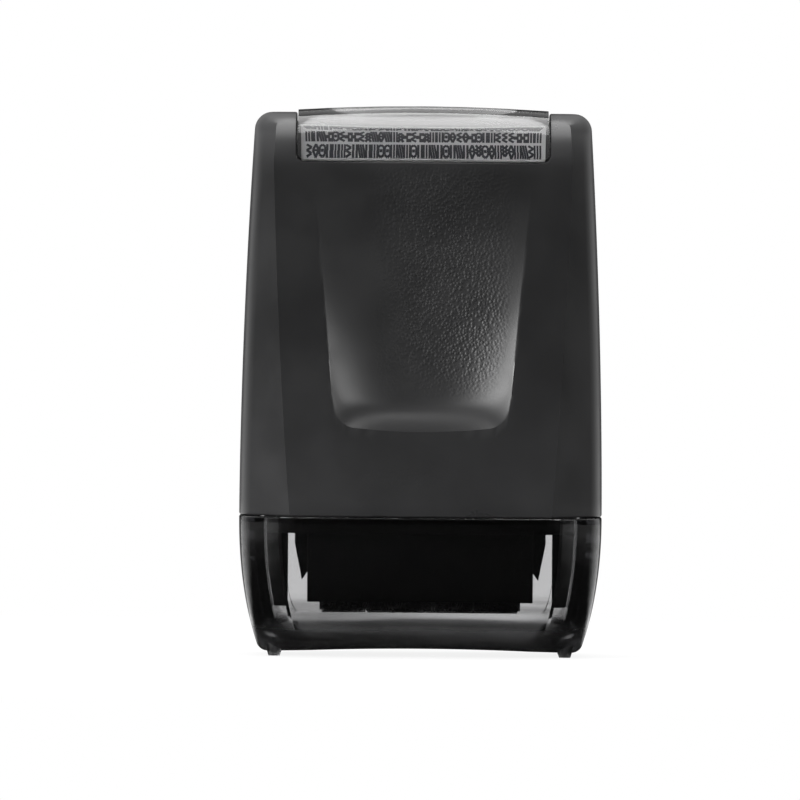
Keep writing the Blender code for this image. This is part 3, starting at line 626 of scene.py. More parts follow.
@dataclass
class StampForm:
    """The outer form that the housing and the cap share, as sizes and as functions of height."""

    half_width: float = 22.45 * MM
    half_depth_at_seam: float = 15.0 * MM
    seam: float = 17.3 * MM
    cover_foot: float = 17.39 * MM
    top: float = 67.2 * MM
    top_radius: float = 8.0 * MM
    top_corner: float = 2.1 * MM
    side_taper: float = 1.7 * MM
    side_bulge: float = 0.25 * MM
    side_power: float = 1.8
    panel_crown: float = 0.5 * MM
    seam_facet: float = 6.4 * MM
    top_facet: float = 2.7 * MM
    facet_angle: float = math.radians(50)
    facet_depth_share: float = 0.55
    corner_reach: float = 2.0 * MM
    wall: float = 1.6 * MM
    cap_side_wall: float = 2.75 * MM
    dish_foot: float = 27.8 * MM
    dish_head: float = 56.5 * MM
    dish_low_half: float = 10.6 * MM
    dish_high_half: float = 13.3 * MM
    dish_corner: float = 2.3 * MM
    dish_sag: float = 0.8 * MM
    dish_floor: float = 9.5 * MM
    dish_power: float = 2.4
    ledge_share: float = 0.13
    window_foot: float = 61.05 * MM
    notch_half: float = 15.6 * MM
    notch_corner: float = 1.0 * MM
    cap_side_taper: float = 2.7 * MM
    cap_depth_taper: float = 1.4 * MM
    cap_power: float = 2.2
    cap_front_round: float = 7.0 * MM
    cap_side_round: float = 1.0 * MM
    cap_inner_round: float = 3.0 * MM
    cap_facet: float = 5.4 * MM
    lean: float = field(init=False)

    def __post_init__(self) -> None:
        """Works out how far the faces lean in from the seam to the round top."""
        rise = self.arc_centre - self.seam
        reach = math.hypot(rise, self.half_depth_at_seam)
        self.lean = math.acos(self.top_radius / reach) - math.atan2(rise, self.half_depth_at_seam)

    @property
    def arc_centre(self) -> float:
        """Height of the middle of the round top."""
        return self.top - self.top_radius

    def depth_at(self, z: float, inset: float = 0.0) -> float:
        """Half depth of the housing at height z.

        Args:
            z: The height.
            inset: How far it lies inside the outer surface.

        Returns:
            Half the depth.
        """
        radius = self.top_radius - inset
        if z < self.arc_centre + radius * math.sin(self.lean):
            return radius / math.cos(self.lean) - (z - self.arc_centre) * math.tan(self.lean)
        return math.sqrt(max(radius**2 - (z - self.arc_centre) ** 2, 0.0))

    def width_at(self, z: float, inset: float = 0.0) -> float:
        """Half width of the housing at height z, with the shoulder's round corner.

        Args:
            z: The height.
            inset: How far it lies inside the outer surface.

        Returns:
            Half the width.
        """
        share = max(z - self.seam, 0.0) / (self.top - self.seam)
        plain = self.half_width - self.side_taper * share**self.side_power
        above = z - (self.top - self.top_corner)
        if above <= 0.0:
            return plain - inset
        corner = math.sqrt(max((self.top_corner - inset) ** 2 - above**2, 0.0))
        return plain - self.top_corner + corner

    def facet_at(self, z: float) -> float:
        """Width of the facet beside the front panel at height z."""
        share = min(max(z - self.seam, 0.0) / (self.window_foot - self.seam), 1.0)
        return self.seam_facet + (self.top_facet - self.seam_facet) * share

    def cap_sizes_at(self, z: float, insets: Point2, foot: float, side_round: float) -> Point2:
        """Half width and half depth of the cap, or of its hollow, at height z.

        Args:
            z: The height.
            insets: How far the skin lies inside the outside, at the sides and in front.
            foot: Height of the skin's foot.
            side_round: Radius of its round along the foot of each side.

        Returns:
            Half width and half depth.
        """
        share = (self.seam - z) / self.seam
        width = self.half_width - self.cap_side_taper * share**self.cap_power - insets[0]
        depth = self.half_depth_at_seam - self.cap_depth_taper * share**self.cap_power - insets[1]
        width -= rolled(z - foot, side_round)
        depth -= rolled(z - foot, self.cap_front_round - insets[1])
        return width, depth

    def dish_half_at(self, z: float) -> float:
        """Half width of the thumb dish at height z."""
        share = min(max((z - self.dish_foot) / (self.dish_head - self.dish_foot), 0.0), 1.0)
        return self.dish_low_half + (self.dish_high_half - self.dish_low_half) * share

    def dish_start(self, share: float) -> float:
        """Height of the dish's lower edge at a share of its half width.

        Args:
            share: Place across, as a share of the half width.

        Returns:
            The height.
        """
        share = min(abs(share), 1.0)
        straight = 1 - self.dish_corner / self.dish_low_half
        rise = self.dish_sag * share**2
        if share > straight:
            across = (share - straight) / (1 - straight)
            rise += self.dish_corner * (1 - math.sqrt(max(1 - across**2, 0.0)))
        return self.dish_foot + rise

    def dish_depth(self, share: float, z: float) -> float:
        """Depth of the dish at a share of its half width and a height.

        Args:
            share: Place across, as a share of the half width.
            z: The height.

        Returns:
            The depth.
        """
        start = self.dish_start(share)
        if abs(share) >= 1 or not start < z < self.dish_head:
            return 0.0
        up = (z - start) / (self.dish_head - start)
        ledge = 1 - (1 - min(up / self.ledge_share, 1.0)) ** 2
        deepest = self.depth_at(self.dish_foot) - self.dish_floor
        return deepest * (1 - up) * ledge * (1 - abs(share) ** self.dish_power)

    def quarter(
        self,
        sizes: Point2,
        facet: float,
        inset: float,
        panel: Sequence[float],
        side: Sequence[float],
        steps: int,
        dish: Callable[[float], float] | None = None,
    ) -> list[Point2]:
        """A quarter of the plan section, from the middle of the front to the middle of the side.

        Args:
            sizes: Half width and half depth.
            facet: Width of the facet.
            inset: How far the section lies inside the outer surface.
            panel: Places across the front panel.
            side: Distances from the middle of the side, from the largest to the smallest.
            steps: How many pieces the round corner has.
            dish: Depth to take off at a place across the panel.

        Returns:
            Points (x, depth), from the front to the side.
        """
        half_width, half_depth = sizes
        fall = min(facet * math.tan(self.facet_angle), self.facet_depth_share * half_depth)
        crown = self.panel_crown * half_depth / self.half_depth_at_seam
        crease_x = half_width - facet + inset * (1 - math.tan(self.facet_angle / 2))
        crease = (crease_x, half_depth - crown)
        corner = (half_width - self.side_bulge, crease[1] - fall)
        points = []
        for x in panel:
            drop = crown * (x / crease_x) ** 2 + (dish(x) if dish else 0.0)
            points.append((x, half_depth - drop))
        points.append(crease)
        target = (half_width, 0.0)
        points += blended_corner(crease, corner, target, self.corner_reach, steps)
        last = points[-1][1]
        for share in side:
            y = last * share
            points.append((half_width - self.side_bulge * (y / max(corner[1], 1e-9)) ** 2, y))
        return points


def whole_loop(quarter: Sequence[Point2]) -> list[Point2]:
    """Mirrors a quarter of a section to all four sides.

    Args:
        quarter: Points (x, depth) from the middle of the front to the middle of the side.

    Returns:
        The closed section, from the middle of the front round by the right.
    """
    points = [(x, -y) for x, y in quarter]
    points += [(x, y) for x, y in reversed(quarter[:-1])]
    points += [(-x, y) for x, y in quarter[1:]]
    points += [(-x, -y) for x, y in reversed(quarter[1:-1])]
    return points


def stacked(columns: Sequence[Sequence[Point3]]) -> list[list[Point3]]:
    """Turns the columns of a quarter into closed loops, from the lowest up.

    Args:
        columns: Points (x, depth, height) of each column, from its foot up.

    Returns:
        One closed loop for each row of points.
    """
    loops = []
    for row in zip(*columns):
        heights = [z for _, _, z in row]
        plan = whole_loop([(x, y) for x, y, _ in row])
        around = heights + heights[-2::-1] + heights[1:] + heights[-2:0:-1]
        loops.append([(x, y, z) for (x, y), z in zip(plan, around)])
    return loops


# Mesh tools


def spaced(start: float, end: float, count: int) -> list[float]:
    """Evenly spaced values, with both ends."""
    return [start + (end - start) * i / (count - 1) for i in range(count)]


def linked(name: str, data: bpy.types.ID) -> Piece:
    """Puts a mesh, a lamp or a camera in the scene as an object.

    Args:
        name: The object's name.
        data: Its mesh, lamp or camera data.

    Returns:
        The object.
    """
    thing = bpy.data.objects.new(name, data)
    bpy.context.scene.collection.objects.link(thing)
    return thing


@contextmanager
def edited(mesh: bpy.types.Mesh) -> Iterator[bmesh.types.BMesh]:
    """Opens a mesh, and stores it again after the block that changes it.

    Args:
        mesh: The mesh.

    Returns:
        What the block changes.
    """
    bm = bmesh.new()
    bm.from_mesh(mesh)
    yield bm
    bm.to_mesh(mesh)
    bm.free()


def solid(name: str, build: Callable[[bmesh.types.BMesh], None]) -> Piece:
    """Makes an object from what build adds to an empty mesh.

    Args:
        name: The object's name.
        build: Adds the faces.

    Returns:
        The object, with its faces turned out.
    """
    mesh = bpy.data.meshes.new(name)
    with edited(mesh) as bm:
        build(bm)
        bmesh.ops.remove_doubles(bm, verts=bm.verts, dist=TOUCHING)
        bmesh.ops.dissolve_degenerate(bm, edges=bm.edges, dist=TOUCHING)
        bmesh.ops.recalc_face_normals(bm, faces=bm.faces)
    return linked(name, mesh)


def lofted(name: str, loops: Sequence[Sequence[Point3]], strips: bool = False) -> Piece:
    """A closed solid through a stack of loops.

    Args:
        name: The object's name.
        loops: Loops with equal numbers of points.
        strips: Whether each end is made of bands from the front to the back of its loop.

    Returns:
        The object.
    """

    def build(bm: bmesh.types.BMesh) -> None:
        """Adds the sides and both ends.

        Args:
            bm: The mesh that takes the faces.
        """
        rings = [[bm.verts.new(point) for point in loop] for loop in loops]
        count = len(loops[0])
        for low, high in zip(rings, rings[1:]):
            for i in range(count):
                j = (i + 1) % count
                bm.faces.new((low[i], low[j], high[j], high[i]))
        if not strips:
            bm.faces.new(reversed(rings[0]))
            bm.faces.new(rings[-1])
            return
        quarter = count // 4
        for ring in (rings[0], rings[-1]):
            for i in range(-quarter, quarter):
                corners = [ring[i], ring[i + 1], ring[2 * quarter - i - 1]]
                corners.append(ring[(2 * quarter - i) % count])
                bm.faces.new(list(dict.fromkeys(corners)))

    return solid(name, build)


class Axis(Enum):
    """The axis that an outline is extruded along."""

    X = "x"
    Y = "y"
    Z = "z"

    def place(self, a: float, b: float, along: float) -> Point3:
        """The point in space for a point (a, b) of the outline.

        Args:
            a: First number of the outline's point.
            b: Second number.
            along: Place along the axis.

        Returns:
            The point.
        """
        if self is Axis.X:
            return (along, a, b)
        if self is Axis.Y:
            return (a, along, b)
        return (a, b, along)


def prism(name: str, outline: Sequence[Point2], low: float, high: float, axis: Axis) -> Piece:
    """Extrudes an outline from low to high along an axis."""
    return lofted(name, [[axis.place(a, b, along) for a, b in outline] for along in (low, high)])


def block(name: str, low: Point3, high: Point3) -> Piece:
    """A block between two corners, for cutting with."""
    outline = [(low[0], low[1]), (high[0], low[1]), (high[0], high[1]), (low[0], high[1])]
    return prism(name, outline, low[2], high[2], Axis.Z)


def circle(radius: float, steps: int) -> list[Point2]:
    """Points round a circle."""
    turns = [2 * math.pi * i / steps for i in range(steps)]
    return [(radius * math.cos(t), radius * math.sin(t)) for t in turns]


def turned(name: str, outline: Sequence[Point2], steps: int = 96, ease: float = 0.0) -> Piece:
    """A solid turned about the X axis.

    Args:
        name: The object's name.
        outline: Closed outline of (along, radius) points.
        steps: How many pieces a full turn has.
        ease: How far the outline's corners are eased.

    Returns:
        The object, with its axis on the X axis.
    """
    if ease:
        solid_pin = any(radius == 0.0 for _, radius in outline)
        corners = []
        for i, point in enumerate(outline):
            if solid_pin and point[1] == 0.0:
                corners.append(point)
                continue
            after = outline[(i + 1) % len(outline)]
            corners += blended_corner(outline[i - 1], point, after, ease, 2)
        outline = corners

    def build(bm: bmesh.types.BMesh) -> None:
        """Adds the bands between the rings.

        Args:
            bm: The mesh that takes the faces.
        """
        rings = []
        for along, radius in outline:
            rings.append([bm.verts.new((along, y, z)) for y, z in circle(radius, steps)])
        for ring, after in zip(rings, rings[1:] + rings[:1]):
            for i in range(steps):
                j = (i + 1) % steps
                bm.faces.new((ring[i], ring[j], after[j], after[i]))

    return solid(name, build)


def tube(low: float, high: float, inner: float, outer: float) -> list[Point2]:
    """Outline of a tube about its axis."""
    return [(low, inner), (low, outer), (high, outer), (high, inner)]


def combine(target: Piece, tool: Piece, operation: str) -> Piece:
    """Cuts, joins or crosses the target with the tool, and removes the tool.

    Args:
        target: The object that is changed.
        tool: The object that it is cut or joined with.
        operation: The modifier's word for it.

    Returns:
        The target.
    """
    modifier = target.modifiers.new("combine", "BOOLEAN")
    modifier.operation = operation
    modifier.solver = "EXACT"
    modifier.object = tool
    return applied(target, tool)


def applied(target: Piece, *spent: Piece) -> Piece:
    """Turns the target's modifiers into mesh, and removes objects that they used.

    Args:
        target: The object that is changed.
        spent: Objects that are used up.

    Returns:
        The target.
    """
    bpy.context.view_layer.update()
    graph = bpy.context.evaluated_depsgraph_get()
    mesh = bpy.data.meshes.new_from_object(target.evaluated_get(graph))
    target.modifiers.clear()
    target.data = mesh
    for thing in spent:
        bpy.data.objects.remove(thing)
    return target


def cut(target: Piece, *tools: Piece) -> Piece:
    """Takes each tool away from the target.

    Args:
        target: The object that is changed.
        tools: What is taken away.

    Returns:
        The target.
    """
    for tool in tools:
        combine(target, tool, "DIFFERENCE")
    return target


def join(target: Piece, *tools: Piece) -> Piece:
    """Joins each tool on to the target.

    Args:
        target: The object that is changed.
        tools: What is joined on.

    Returns:
        The target.
    """
    for tool in tools:
        combine(target, tool, "UNION")
    return target


def healed(thing: Piece, reach: float = 0.002 * MM) -> Piece:
    """Merges the points that cutting left closer than reach.

    Args:
        thing: The object.
        reach: The largest distance that is closed.

    Returns:
        The same object.
    """
    with edited(thing.data) as bm:
        bmesh.ops.remove_doubles(bm, verts=bm.verts, dist=reach)
        bmesh.ops.dissolve_degenerate(bm, edges=bm.edges, dist=reach)
    return thing


def shifted(thing: Piece, x: float, y: float, z: float) -> Piece:
    """Moves a mesh within its object."""
    thing.data.transform(Matrix.Translation((x, y, z)))
    return thing


def smooth(thing: Piece, angle: float = 30.0) -> Piece:
    """Shades a piece smooth, apart from edges sharper than the angle in degrees.

    Args:
        thing: The object.
        angle: The sharpest angle that is shaded smooth.

    Returns:
        The same object.
    """
    thing.data.shade_smooth()
    thing.data.set_sharp_from_angle(angle=math.radians(angle))
    return thing


def bevelled(thing: Piece, width: float, segments: int = 2) -> Piece:
    """Merges a solid's flat faces, and rounds its sharp edges.

    Args:
        thing: The object.
        width: Width of the rounding.
        segments: How many faces it has.

    Returns:
        The same object.
    """
    with edited(thing.data) as bm:
        bmesh.ops.remove_doubles(bm, verts=bm.verts, dist=0.001 * MM)
        flat = math.radians(0.8)
        parts = {"verts": bm.verts, "edges": bm.edges}
        bmesh.ops.dissolve_limit(bm, angle_limit=flat, delimit=set(), **parts)
    modifier = thing.modifiers.new("bevel", "BEVEL")
    modifier.width = width
    modifier.segments = segments
    modifier.limit_method = "ANGLE"
    modifier.angle_limit = math.radians(35)
    modifier.harden_normals = False
    return applied(thing)


def marked(thing: Piece, name: str, value: Callable[[Vector], float]) -> Piece:
    """Stores a number at each point of a mesh, for its material.

    Args:
        thing: The object.
        name: Name of the stored number.
        value: Gives the number at a point.

    Returns:
        The same object.
    """
    attribute = thing.data.attributes.new(name, "FLOAT", "POINT")
    values = [value(vertex.co) for vertex in thing.data.vertices]
    attribute.data.foreach_set("value", values)
    return thing


def highlight_and_wear_edges(thing: Piece, reach: float = 25.0, narrow: float = 0.2 * MM) -> Piece:
    """Marks the narrow faces of a mesh that round an edge sharper than reach, in degrees, where
    moulded plastics paint a highlight and rubbed wear.

    Args:
        thing: The object.
        reach: The least angle of a worn edge, in degrees.
        narrow: The largest width of its faces.

    Returns:
        The same object.
    """
    bm = bmesh.new()
    bm.from_mesh(thing.data)
    limit = math.radians(reach)
    values = []
    for face in bm.faces:
        width = face.calc_area() / max(edge.calc_length() for edge in face.edges)
        turns = any(edge.calc_face_angle(0.0) > limit for edge in face.edges)
        values.append(1.0 if turns and width < narrow else 0.0)
    bm.free()
    # moulded plastics paint a highlight and rubbed wear on the faces marked here
    attribute = thing.data.attributes.new("edge", "FLOAT", "FACE")
    attribute.data.foreach_set("value", values)
    return thing


# Printed and raised marks


class Mark(Enum):
    """Shapes of the masking pattern, as strokes (from, to, width) in a box of height 1."""

    TWIN_BAR = (((-0.13, -0.5), (-0.13, 0.5), 0.1), ((0.13, -0.5), (0.13, 0.5), 0.1))
    TRIPLE_BAR = (
        ((-0.2, -0.5), (-0.2, 0.5), 0.08),
        ((0.0, -0.5), (0.0, 0.5), 0.08),
        ((0.2, -0.5), (0.2, 0.5), 0.08),
    )
    LOZENGE = (
        ((0.0, -0.5), (0.2, 0.0), 0.1),
        ((0.2, 0.0), (0.0, 0.5), 0.1),
        ((0.0, 0.5), (-0.2, 0.0), 0.1),
        ((-0.2, 0.0), (0.0, -0.5), 0.1),
        ((0.0, -0.08), (0.0, 0.08), 0.12),
    )
    SLASHES = (
        ((-0.26, -0.5), (-0.08, 0.5), 0.09),
        ((-0.09, -0.5), (0.09, 0.5), 0.09),
        ((0.08, -0.5), (0.26, 0.5), 0.09),
    )
    CHEVRONS = tuple(
        stroke
        for low in (-0.5, -0.22, 0.06)
        for stroke in (
            ((-0.2, low), (0.0, low + 0.3), 0.11),
            ((0.0, low + 0.3), (0.2, low), 0.11),
        )
    )
    SPRING = tuple(
        (((-0.18, 0.18)[i % 2], -0.46 + i * 0.23), ((0.18, -0.18)[i % 2], -0.23 + i * 0.23), 0.1)
        for i in range(4)
    )
    TARGET = (
        ((-0.2, -0.3), (0.0, -0.46), 0.1),
        ((0.0, -0.46), (0.2, -0.3), 0.1),
        ((0.2, -0.3), (0.2, 0.3), 0.1),
        ((0.2, 0.3), (0.0, 0.46), 0.1),
        ((0.0, 0.46), (-0.2, 0.3), 0.1),
        ((-0.2, 0.3), (-0.2, -0.3), 0.1),
        ((0.0, -0.12), (0.0, 0.12), 0.12),
    )
    CHECKER = (
        ((-0.12, -0.5), (-0.12, -0.2), 0.22),
        ((0.12, -0.2), (0.12, 0.1), 0.22),
        ((-0.12, 0.1), (-0.12, 0.4), 0.22),
    )


@dataclass
class MaskingPattern:
    """Rows of marks that cover a surface, alternate rows upside down."""

    height: float = 1.7 * MM
    row_pitch: float = 2.1 * MM
    pitch: float = 0.8 * MM
    bold: float = 1.7
    steps: int = 3
    seed: int = 7

    def build(
        self, name: str, surface: Surface, width: float, rows: Sequence[float], lifts: Point2
    ) -> Piece:
        """Lays the marks on a surface.

        Args:
            name: The object's name.
            surface: Gives the point in space for a place across, a place along and a lift.
            width: Width of the printed band.
            rows: Place along the surface of each row's middle.
            lifts: Height of the marks' underside and of their top above the surface.

        Returns:
            One object that holds all the marks.
        """
        chooser = random.Random(self.seed)
        kinds = list(Mark)
        mesh = bpy.data.meshes.new(name)
        count = int(width / self.pitch)
        with edited(mesh) as bm:
            for number, along in enumerate(rows):
                flip = -1 if number % 2 else 1
                for i in range(count):
                    across = (i + 0.5 - count / 2) * width / count
                    for shape in chooser.choice(kinds).value:
                        self.stroke(bm, surface, across, along, flip, shape, lifts)
            bmesh.ops.recalc_face_normals(bm, faces=bm.faces)
        return linked(name, mesh)

    def stroke(
        self,
        bm: bmesh.types.BMesh,
        surface: Surface,
        across: float,
        along: float,
        flip: int,
        shape: tuple,
        lifts: Point2,
    ) -> None:
        """Adds one stroke as a thin closed bar that follows the surface.

        Args:
            bm: The mesh that takes the faces.
            surface: Gives the point in space.
            across: Place across of the mark's middle.
            along: Place along of the mark's middle.
            flip: -1 where the mark is upside down.
            shape: The stroke's start, end and width in the mark's box.
            lifts: Height of its underside and of its top.
        """
        start, end, bold = shape
        scale = self.height
        dx, dy = end[0] - start[0], (end[1] - start[1])
        length = math.hypot(dx, dy)
        half = bold * self.bold * scale / 2
        side = (-dy / length * half, dx / length * half)
        rings = []
        for step in range(self.steps + 1):
            t = step / self.steps
            u = across + flip * (start[0] + dx * t) * scale
            v = along + flip * (start[1] + dy * t) * scale
            ring = []
            for sign, lift in ((-1, lifts[0]), (1, lifts[0]), (1, lifts[1]), (-1, lifts[1])):
                point = surface(u + sign * side[0], v + sign * side[1], lift)
                ring.append(bm.verts.new(point))
            rings.append(ring)
        for low, high in zip(rings, rings[1:]):
            for i in range(4):
                j = (i + 1) % 4
                bm.faces.new((low[i], low[j], high[j], high[i]))
        bm.faces.new(reversed(rings[0]))
        bm.faces.new(rings[-1])


# Sub-assemblies


@dataclass
class Housing:
    """The two black covers with the thumb dish."""

    form: StampForm
    edge: float = 0.25 * MM
    parting_edge: float = 0.14 * MM
    parting_gap: float = 0.1 * MM
    rib: Point2 = (21.1 * MM, 22.3 * MM)
    sleeve: tuple[float, float, float, float] = (17.35 * MM, 11.5 * MM, 15.0 * MM, 6.75 * MM)
    web: float = 1.2 * MM
    overrun: float = 2 * MM
    way_overrun: float = 0.3 * MM
    # reach of the painted edge highlight and rubbed wear, in from the sides and out from an edge
    highlight_wear_depth: float = 1.0 * MM
    highlight_wear_reach: float = 0.3 * MM
    grain_middle: float = 0.2  # these two are shares of the dish's half width
    grain_half: float = 0.72
    grain_span: Point2 = (0.12, 1.18)  # these three are shares of its height
    grain_rise: float = 0.2
    grain_fall: float = 0.08
    patch_middle: Point2 = (-0.8 * MM, 22.5 * MM)  # of the faint grain under the dish
    patch_half: Point2 = (9 * MM, 2.6 * MM)
    patch_strength: float = 0.3
    grip_fade: Point2 = (2 * MM, 9 * MM)
    lap_span: Point2 = (38 * MM, 62.5 * MM)
    lap_root: Point2 = (-0.8 * MM, -0.4 * MM)
    lap_reach: float = 0.6 * MM
    lap_thickness: float = 0.55 * MM
    lap_clearance: float = 0.06 * MM

    def columns(self) -> tuple[list[float], list[float], list[float]]:
        """Shares across the dish, places beside it, and shares of the side.

        Returns:
            The three lists.
        """
        dish = [0.0, 0.12, 0.24, 0.36, 0.47, 0.57, 0.66, 0.74, 0.8, 0.85, 0.89, 0.92]
        dish += [0.95, 0.97, 0.985, 1.0]
        half = self.form.notch_half
        beside = [half + step * MM for step in (-1.0, -0.6, -0.3, -0.1, 0, 0.05, 0.12, 0.2)]
        side = [0.86, 0.7, 0.54, 0.38, 0.24, 0.13]
        return dish, beside, side

    def heights(self, share: float) -> list[float]:
        """Heights of the grid's points in the column at this share of the dish.

        Args:
            share: The column's place across the dish.

        Returns:
            The heights, from below the foot to the top.
        """
        form = self.form
        foot = form.cover_foot
        rows = [foot - 1.0 * MM] + [foot + step * MM for step in (-0.02, 0.03, 0.07, 0.13, 0.25)]
        start = form.dish_start(share)
        rows += spaced(foot + 0.25 * MM, start, 9)[1:]
        rows += [start + (form.dish_head - start) * (i / 30) ** 1.7 for i in range(1, 31)]
        low = form.window_foot
        rows += spaced(form.dish_head, low - 0.5 * MM, 6)[1:]
        rows += [low + step * MM for step in (-0.35, -0.25, -0.16, -0.09, -0.04, 0)]
        rows += [low + step * MM for step in spaced(0.12, 1.2, 10)]
        angle = math.asin((rows[-1] - form.arc_centre) / form.top_radius)
        last = math.acos(0.6 * MM / form.top_radius)
        turns = spaced(angle, last, 20)[1:]
        turns += [math.acos(y * MM / form.top_radius) for y in (0.42, 0.3, 0.22, 0.16, 0.125, 0)]
        rows += [form.arc_centre + form.top_radius * math.sin(turn) for turn in turns]
        return rows

    def outside(self) -> Piece:
        """The housing's outside as one fine solid, with its cut edges rolled in.

        Returns:
            The solid, not yet hollow.
        """
        form = self.form
        dish, beside, side = self.columns()
        side_ends = [0.42, 0.3, 0.22, 0.16, 0.125, 0.0]
        steps = 5
        count = len(dish) + len(beside) + steps + 2 + len(side) + len(side_ends)
        columns = []
        for column in range(count):
            share = dish[column] if column < len(dish) else 1.0
            points = []
            for z in self.heights(share):
                half = form.dish_half_at(z)
                sizes = (form.width_at(z), form.depth_at(z))
                panel = [s * half for s in dish] + self.beside_at(half, beside)
                quarter = form.quarter(
                    sizes,
                    form.facet_at(z),
                    0.0,
                    panel,
                    side,
                    steps,
                    lambda x: form.dish_depth(x / half, z),
                )
                last = quarter[-1][1]
                for end in side_ends:
                    y = min(end * MM, last * (end + 0.01))
                    quarter.append((sizes[0] - form.side_bulge * (y / (10 * MM)) ** 2, y))
                points.append((*quarter[column], z))
            columns.append(points)
        return self.rolled_edges(lofted("shell", stacked(columns)))

    def beside_at(self, half: float, beside: Sequence[float]) -> list[float]:
        """Places between the dish and the crease at a height where the dish has this half width."""
        first = half + (beside[0] - half) * 0.12
        return [first] + list(beside[1:])

    def rolled_edges(self, shell: Piece) -> Piece:
        """Rolls the surface in along the notch, the seam and the parting line.

        Args:
            shell: The housing's outside.

        Returns:
            The same object.
        """
        with edited(shell.data) as bm:
            bm.normal_update()
            for vertex in bm.verts:
                x, y, z = vertex.co
                inward = max(
                    rolled(self.notch_distance(x, z), self.edge),
                    rolled(z - self.form.cover_foot, self.edge),
                    rolled(abs(y) - self.parting_gap / 2, self.parting_edge),
                )
                vertex.co -= vertex.normal * inward
        return shell

    def notch_distance(self, x: float, z: float) -> float:
        """Distance of a point of the outside from the notch, below 0 within it.

        Args:
            x: The point's X.
            z: Its height.

        Returns:
            The distance, below 0 inside the notch.
        """
        form = self.form
        across = abs(x) - form.notch_half
        down = form.window_foot - z
        in_corner = across > -form.notch_corner and down > -form.notch_corner
        if in_corner:
            reach = math.hypot(across + form.notch_corner, down + form.notch_corner)
            return reach - form.notch_corner
        return max(across, down)

    def notch(self, inset: float, steps: int = 8) -> Piece:
        """A solid that fills the notch, inset from its sides.

        Args:
            inset: How far inside the notch's sides it stays.
            steps: How many pieces each corner has.

        Returns:
            The solid, which reaches past the front and the back.
        """
        form = self.form
        half, low = form.notch_half - inset, form.window_foot + inset
        high = form.top + self.overrun
        radius = form.notch_corner
        right = []
        for step in range(steps + 1):
            turn = math.pi / 2 * step / steps
            right.append(
                (half - radius + radius * math.sin(turn), low + radius - radius * math.cos(turn))
            )
        right.append((half, high))
        outline = right + [(-x, z) for x, z in reversed(right)]
        reach = form.half_depth_at_seam * 1.2
        return prism("notch", outline, -reach, reach, Axis.Y)

    def inner_solid(self, name: str, inset: float, low: float) -> Piece:
        """A coarser solid that lies inset from the outside, for the covers' inner faces.

        Args:
            name: The object's name.
            inset: How far it lies inside the outer surface.
            low: Height of its foot.

        Returns:
            The solid.
        """
        form = self.form
        shares = [0.0, 0.3, 0.55, 0.75, 0.9, 1.0]
        rows = [0.0, 0.02, 0.05, 0.09, 0.14, 0.25, 0.4, 0.6, 0.8, 1.0]
        columns = []
        count = len(shares) + 7
        for column in range(count):
            share = shares[column] if column < len(shares) else 1.0
            start = form.dish_start(share)
            heights = [low] + [start + part * (form.dish_head - start) for part in rows]
            for turn in spaced(form.lean, math.pi / 2, 10):
                heights.append(form.arc_centre + (form.top_radius - inset) * math.sin(turn))
            points = []
            for z in heights:
                half = form.dish_half_at(z)
                quarter = form.quarter(
                    (form.width_at(z, inset), form.depth_at(z, inset)),
                    form.facet_at(z),
                    inset,
                    [s * half for s in shares],
                    (0.5, 0.0),
                    3,
                    lambda x: form.dish_depth(x / half, z),
                )
                points.append((*quarter[column], z))
            columns.append(points)
        return lofted(name, stacked(columns))

    def sleeve_outline(self) -> list[Point2]:
        """Outline of the opening round the chassis.

        Returns:
            The outline, from the front right corner round.
        """
        width, depth, near, far = self.sleeve
        quarter = [(near, depth), (width, far)]
        right = [(x, -y) for x, y in quarter] + [(x, y) for x, y in reversed(quarter)]
        return right + [(-x, y) for x, y in quarter] + [(-x, -y) for x, y in reversed(quarter)]

    def cavity(self) -> Piece:
        """The hollow inside the covers, with the rib and the shoulders' webs left standing.

        Returns:
            The solid that is taken out of the covers.
        """
        form = self.form
        wide, deep = form.half_width, form.half_depth_at_seam
        hollow = self.inner_solid("hollow", form.wall, form.cover_foot - self.overrun)
        cut(hollow, block("rib", (-wide, -deep, self.rib[0]), (wide, deep, self.rib[1])))
        for side in (-1, 1):
            ends = sorted((side * form.notch_half, side * (form.notch_half + self.web)))
            low = (ends[0], -deep, form.window_foot - form.wall)
            cut(hollow, block("web", low, (ends[1], deep, form.top)))
        return hollow

    def lap(self) -> Piece:
        """The lip inside the right wall, which laps behind the other cover along the parting.

        Returns:
            The lip, which still has to be joined to the wall.
        """
        low, high = self.lap_root
        loops = []
        for z in spaced(*self.lap_span, 6):
            wall = self.form.width_at(z, self.form.wall)
            outer = wall - self.lap_clearance
            inner = outer - self.lap_thickness
            hold = wall + self.form.wall / 4
            section = [(inner, low), (hold, low), (hold, high), (outer, high)]
            section += [(outer, self.lap_reach), (inner, self.lap_reach)]
            loops.append([(x, y, z) for x, y in section])
        return lofted("lap", loops)

    def cover(self) -> Piece:
        """The front cover.

        Returns:
            The cover, hollow and open at its foot.
        """
        form = self.form
        shell = self.outside()
        wide, deep, high = form.half_width * 2, form.half_depth_at_seam * 2, form.top * 2
        kept = block("kept", (-wide, -deep, form.cover_foot), (wide, -self.parting_gap / 2, high))
        combine(shell, kept, "INTERSECT")
        way = prism("way", self.sleeve_outline(), 0.0, self.rib[1] + self.way_overrun, Axis.Z)
        cut(shell, self.cavity(), way, self.notch(0.0))
        return healed(join(shell, self.lap()))

    def highlight_and_wear(self, point: Vector) -> float:
        """How much painted highlight and rubbed wear the outside has at a point, from 0 to 1.

        Args:
            point: A point of the mesh.

        Returns:
            The painted highlight and wear.
        """
        outer = abs(point.y) > self.form.depth_at(point.z, self.form.wall * 0.6) or (
            abs(point.x) > self.form.width_at(point.z) - self.highlight_wear_depth
        )
        if not outer:
            return 0.0
        near = min(
            abs(self.notch_distance(point.x, point.z)),
            abs(point.z - self.form.cover_foot),
            abs(abs(point.y) - self.parting_gap / 2) * 1.6,
        )
        return max(1 - near / self.highlight_wear_reach, 0.0)

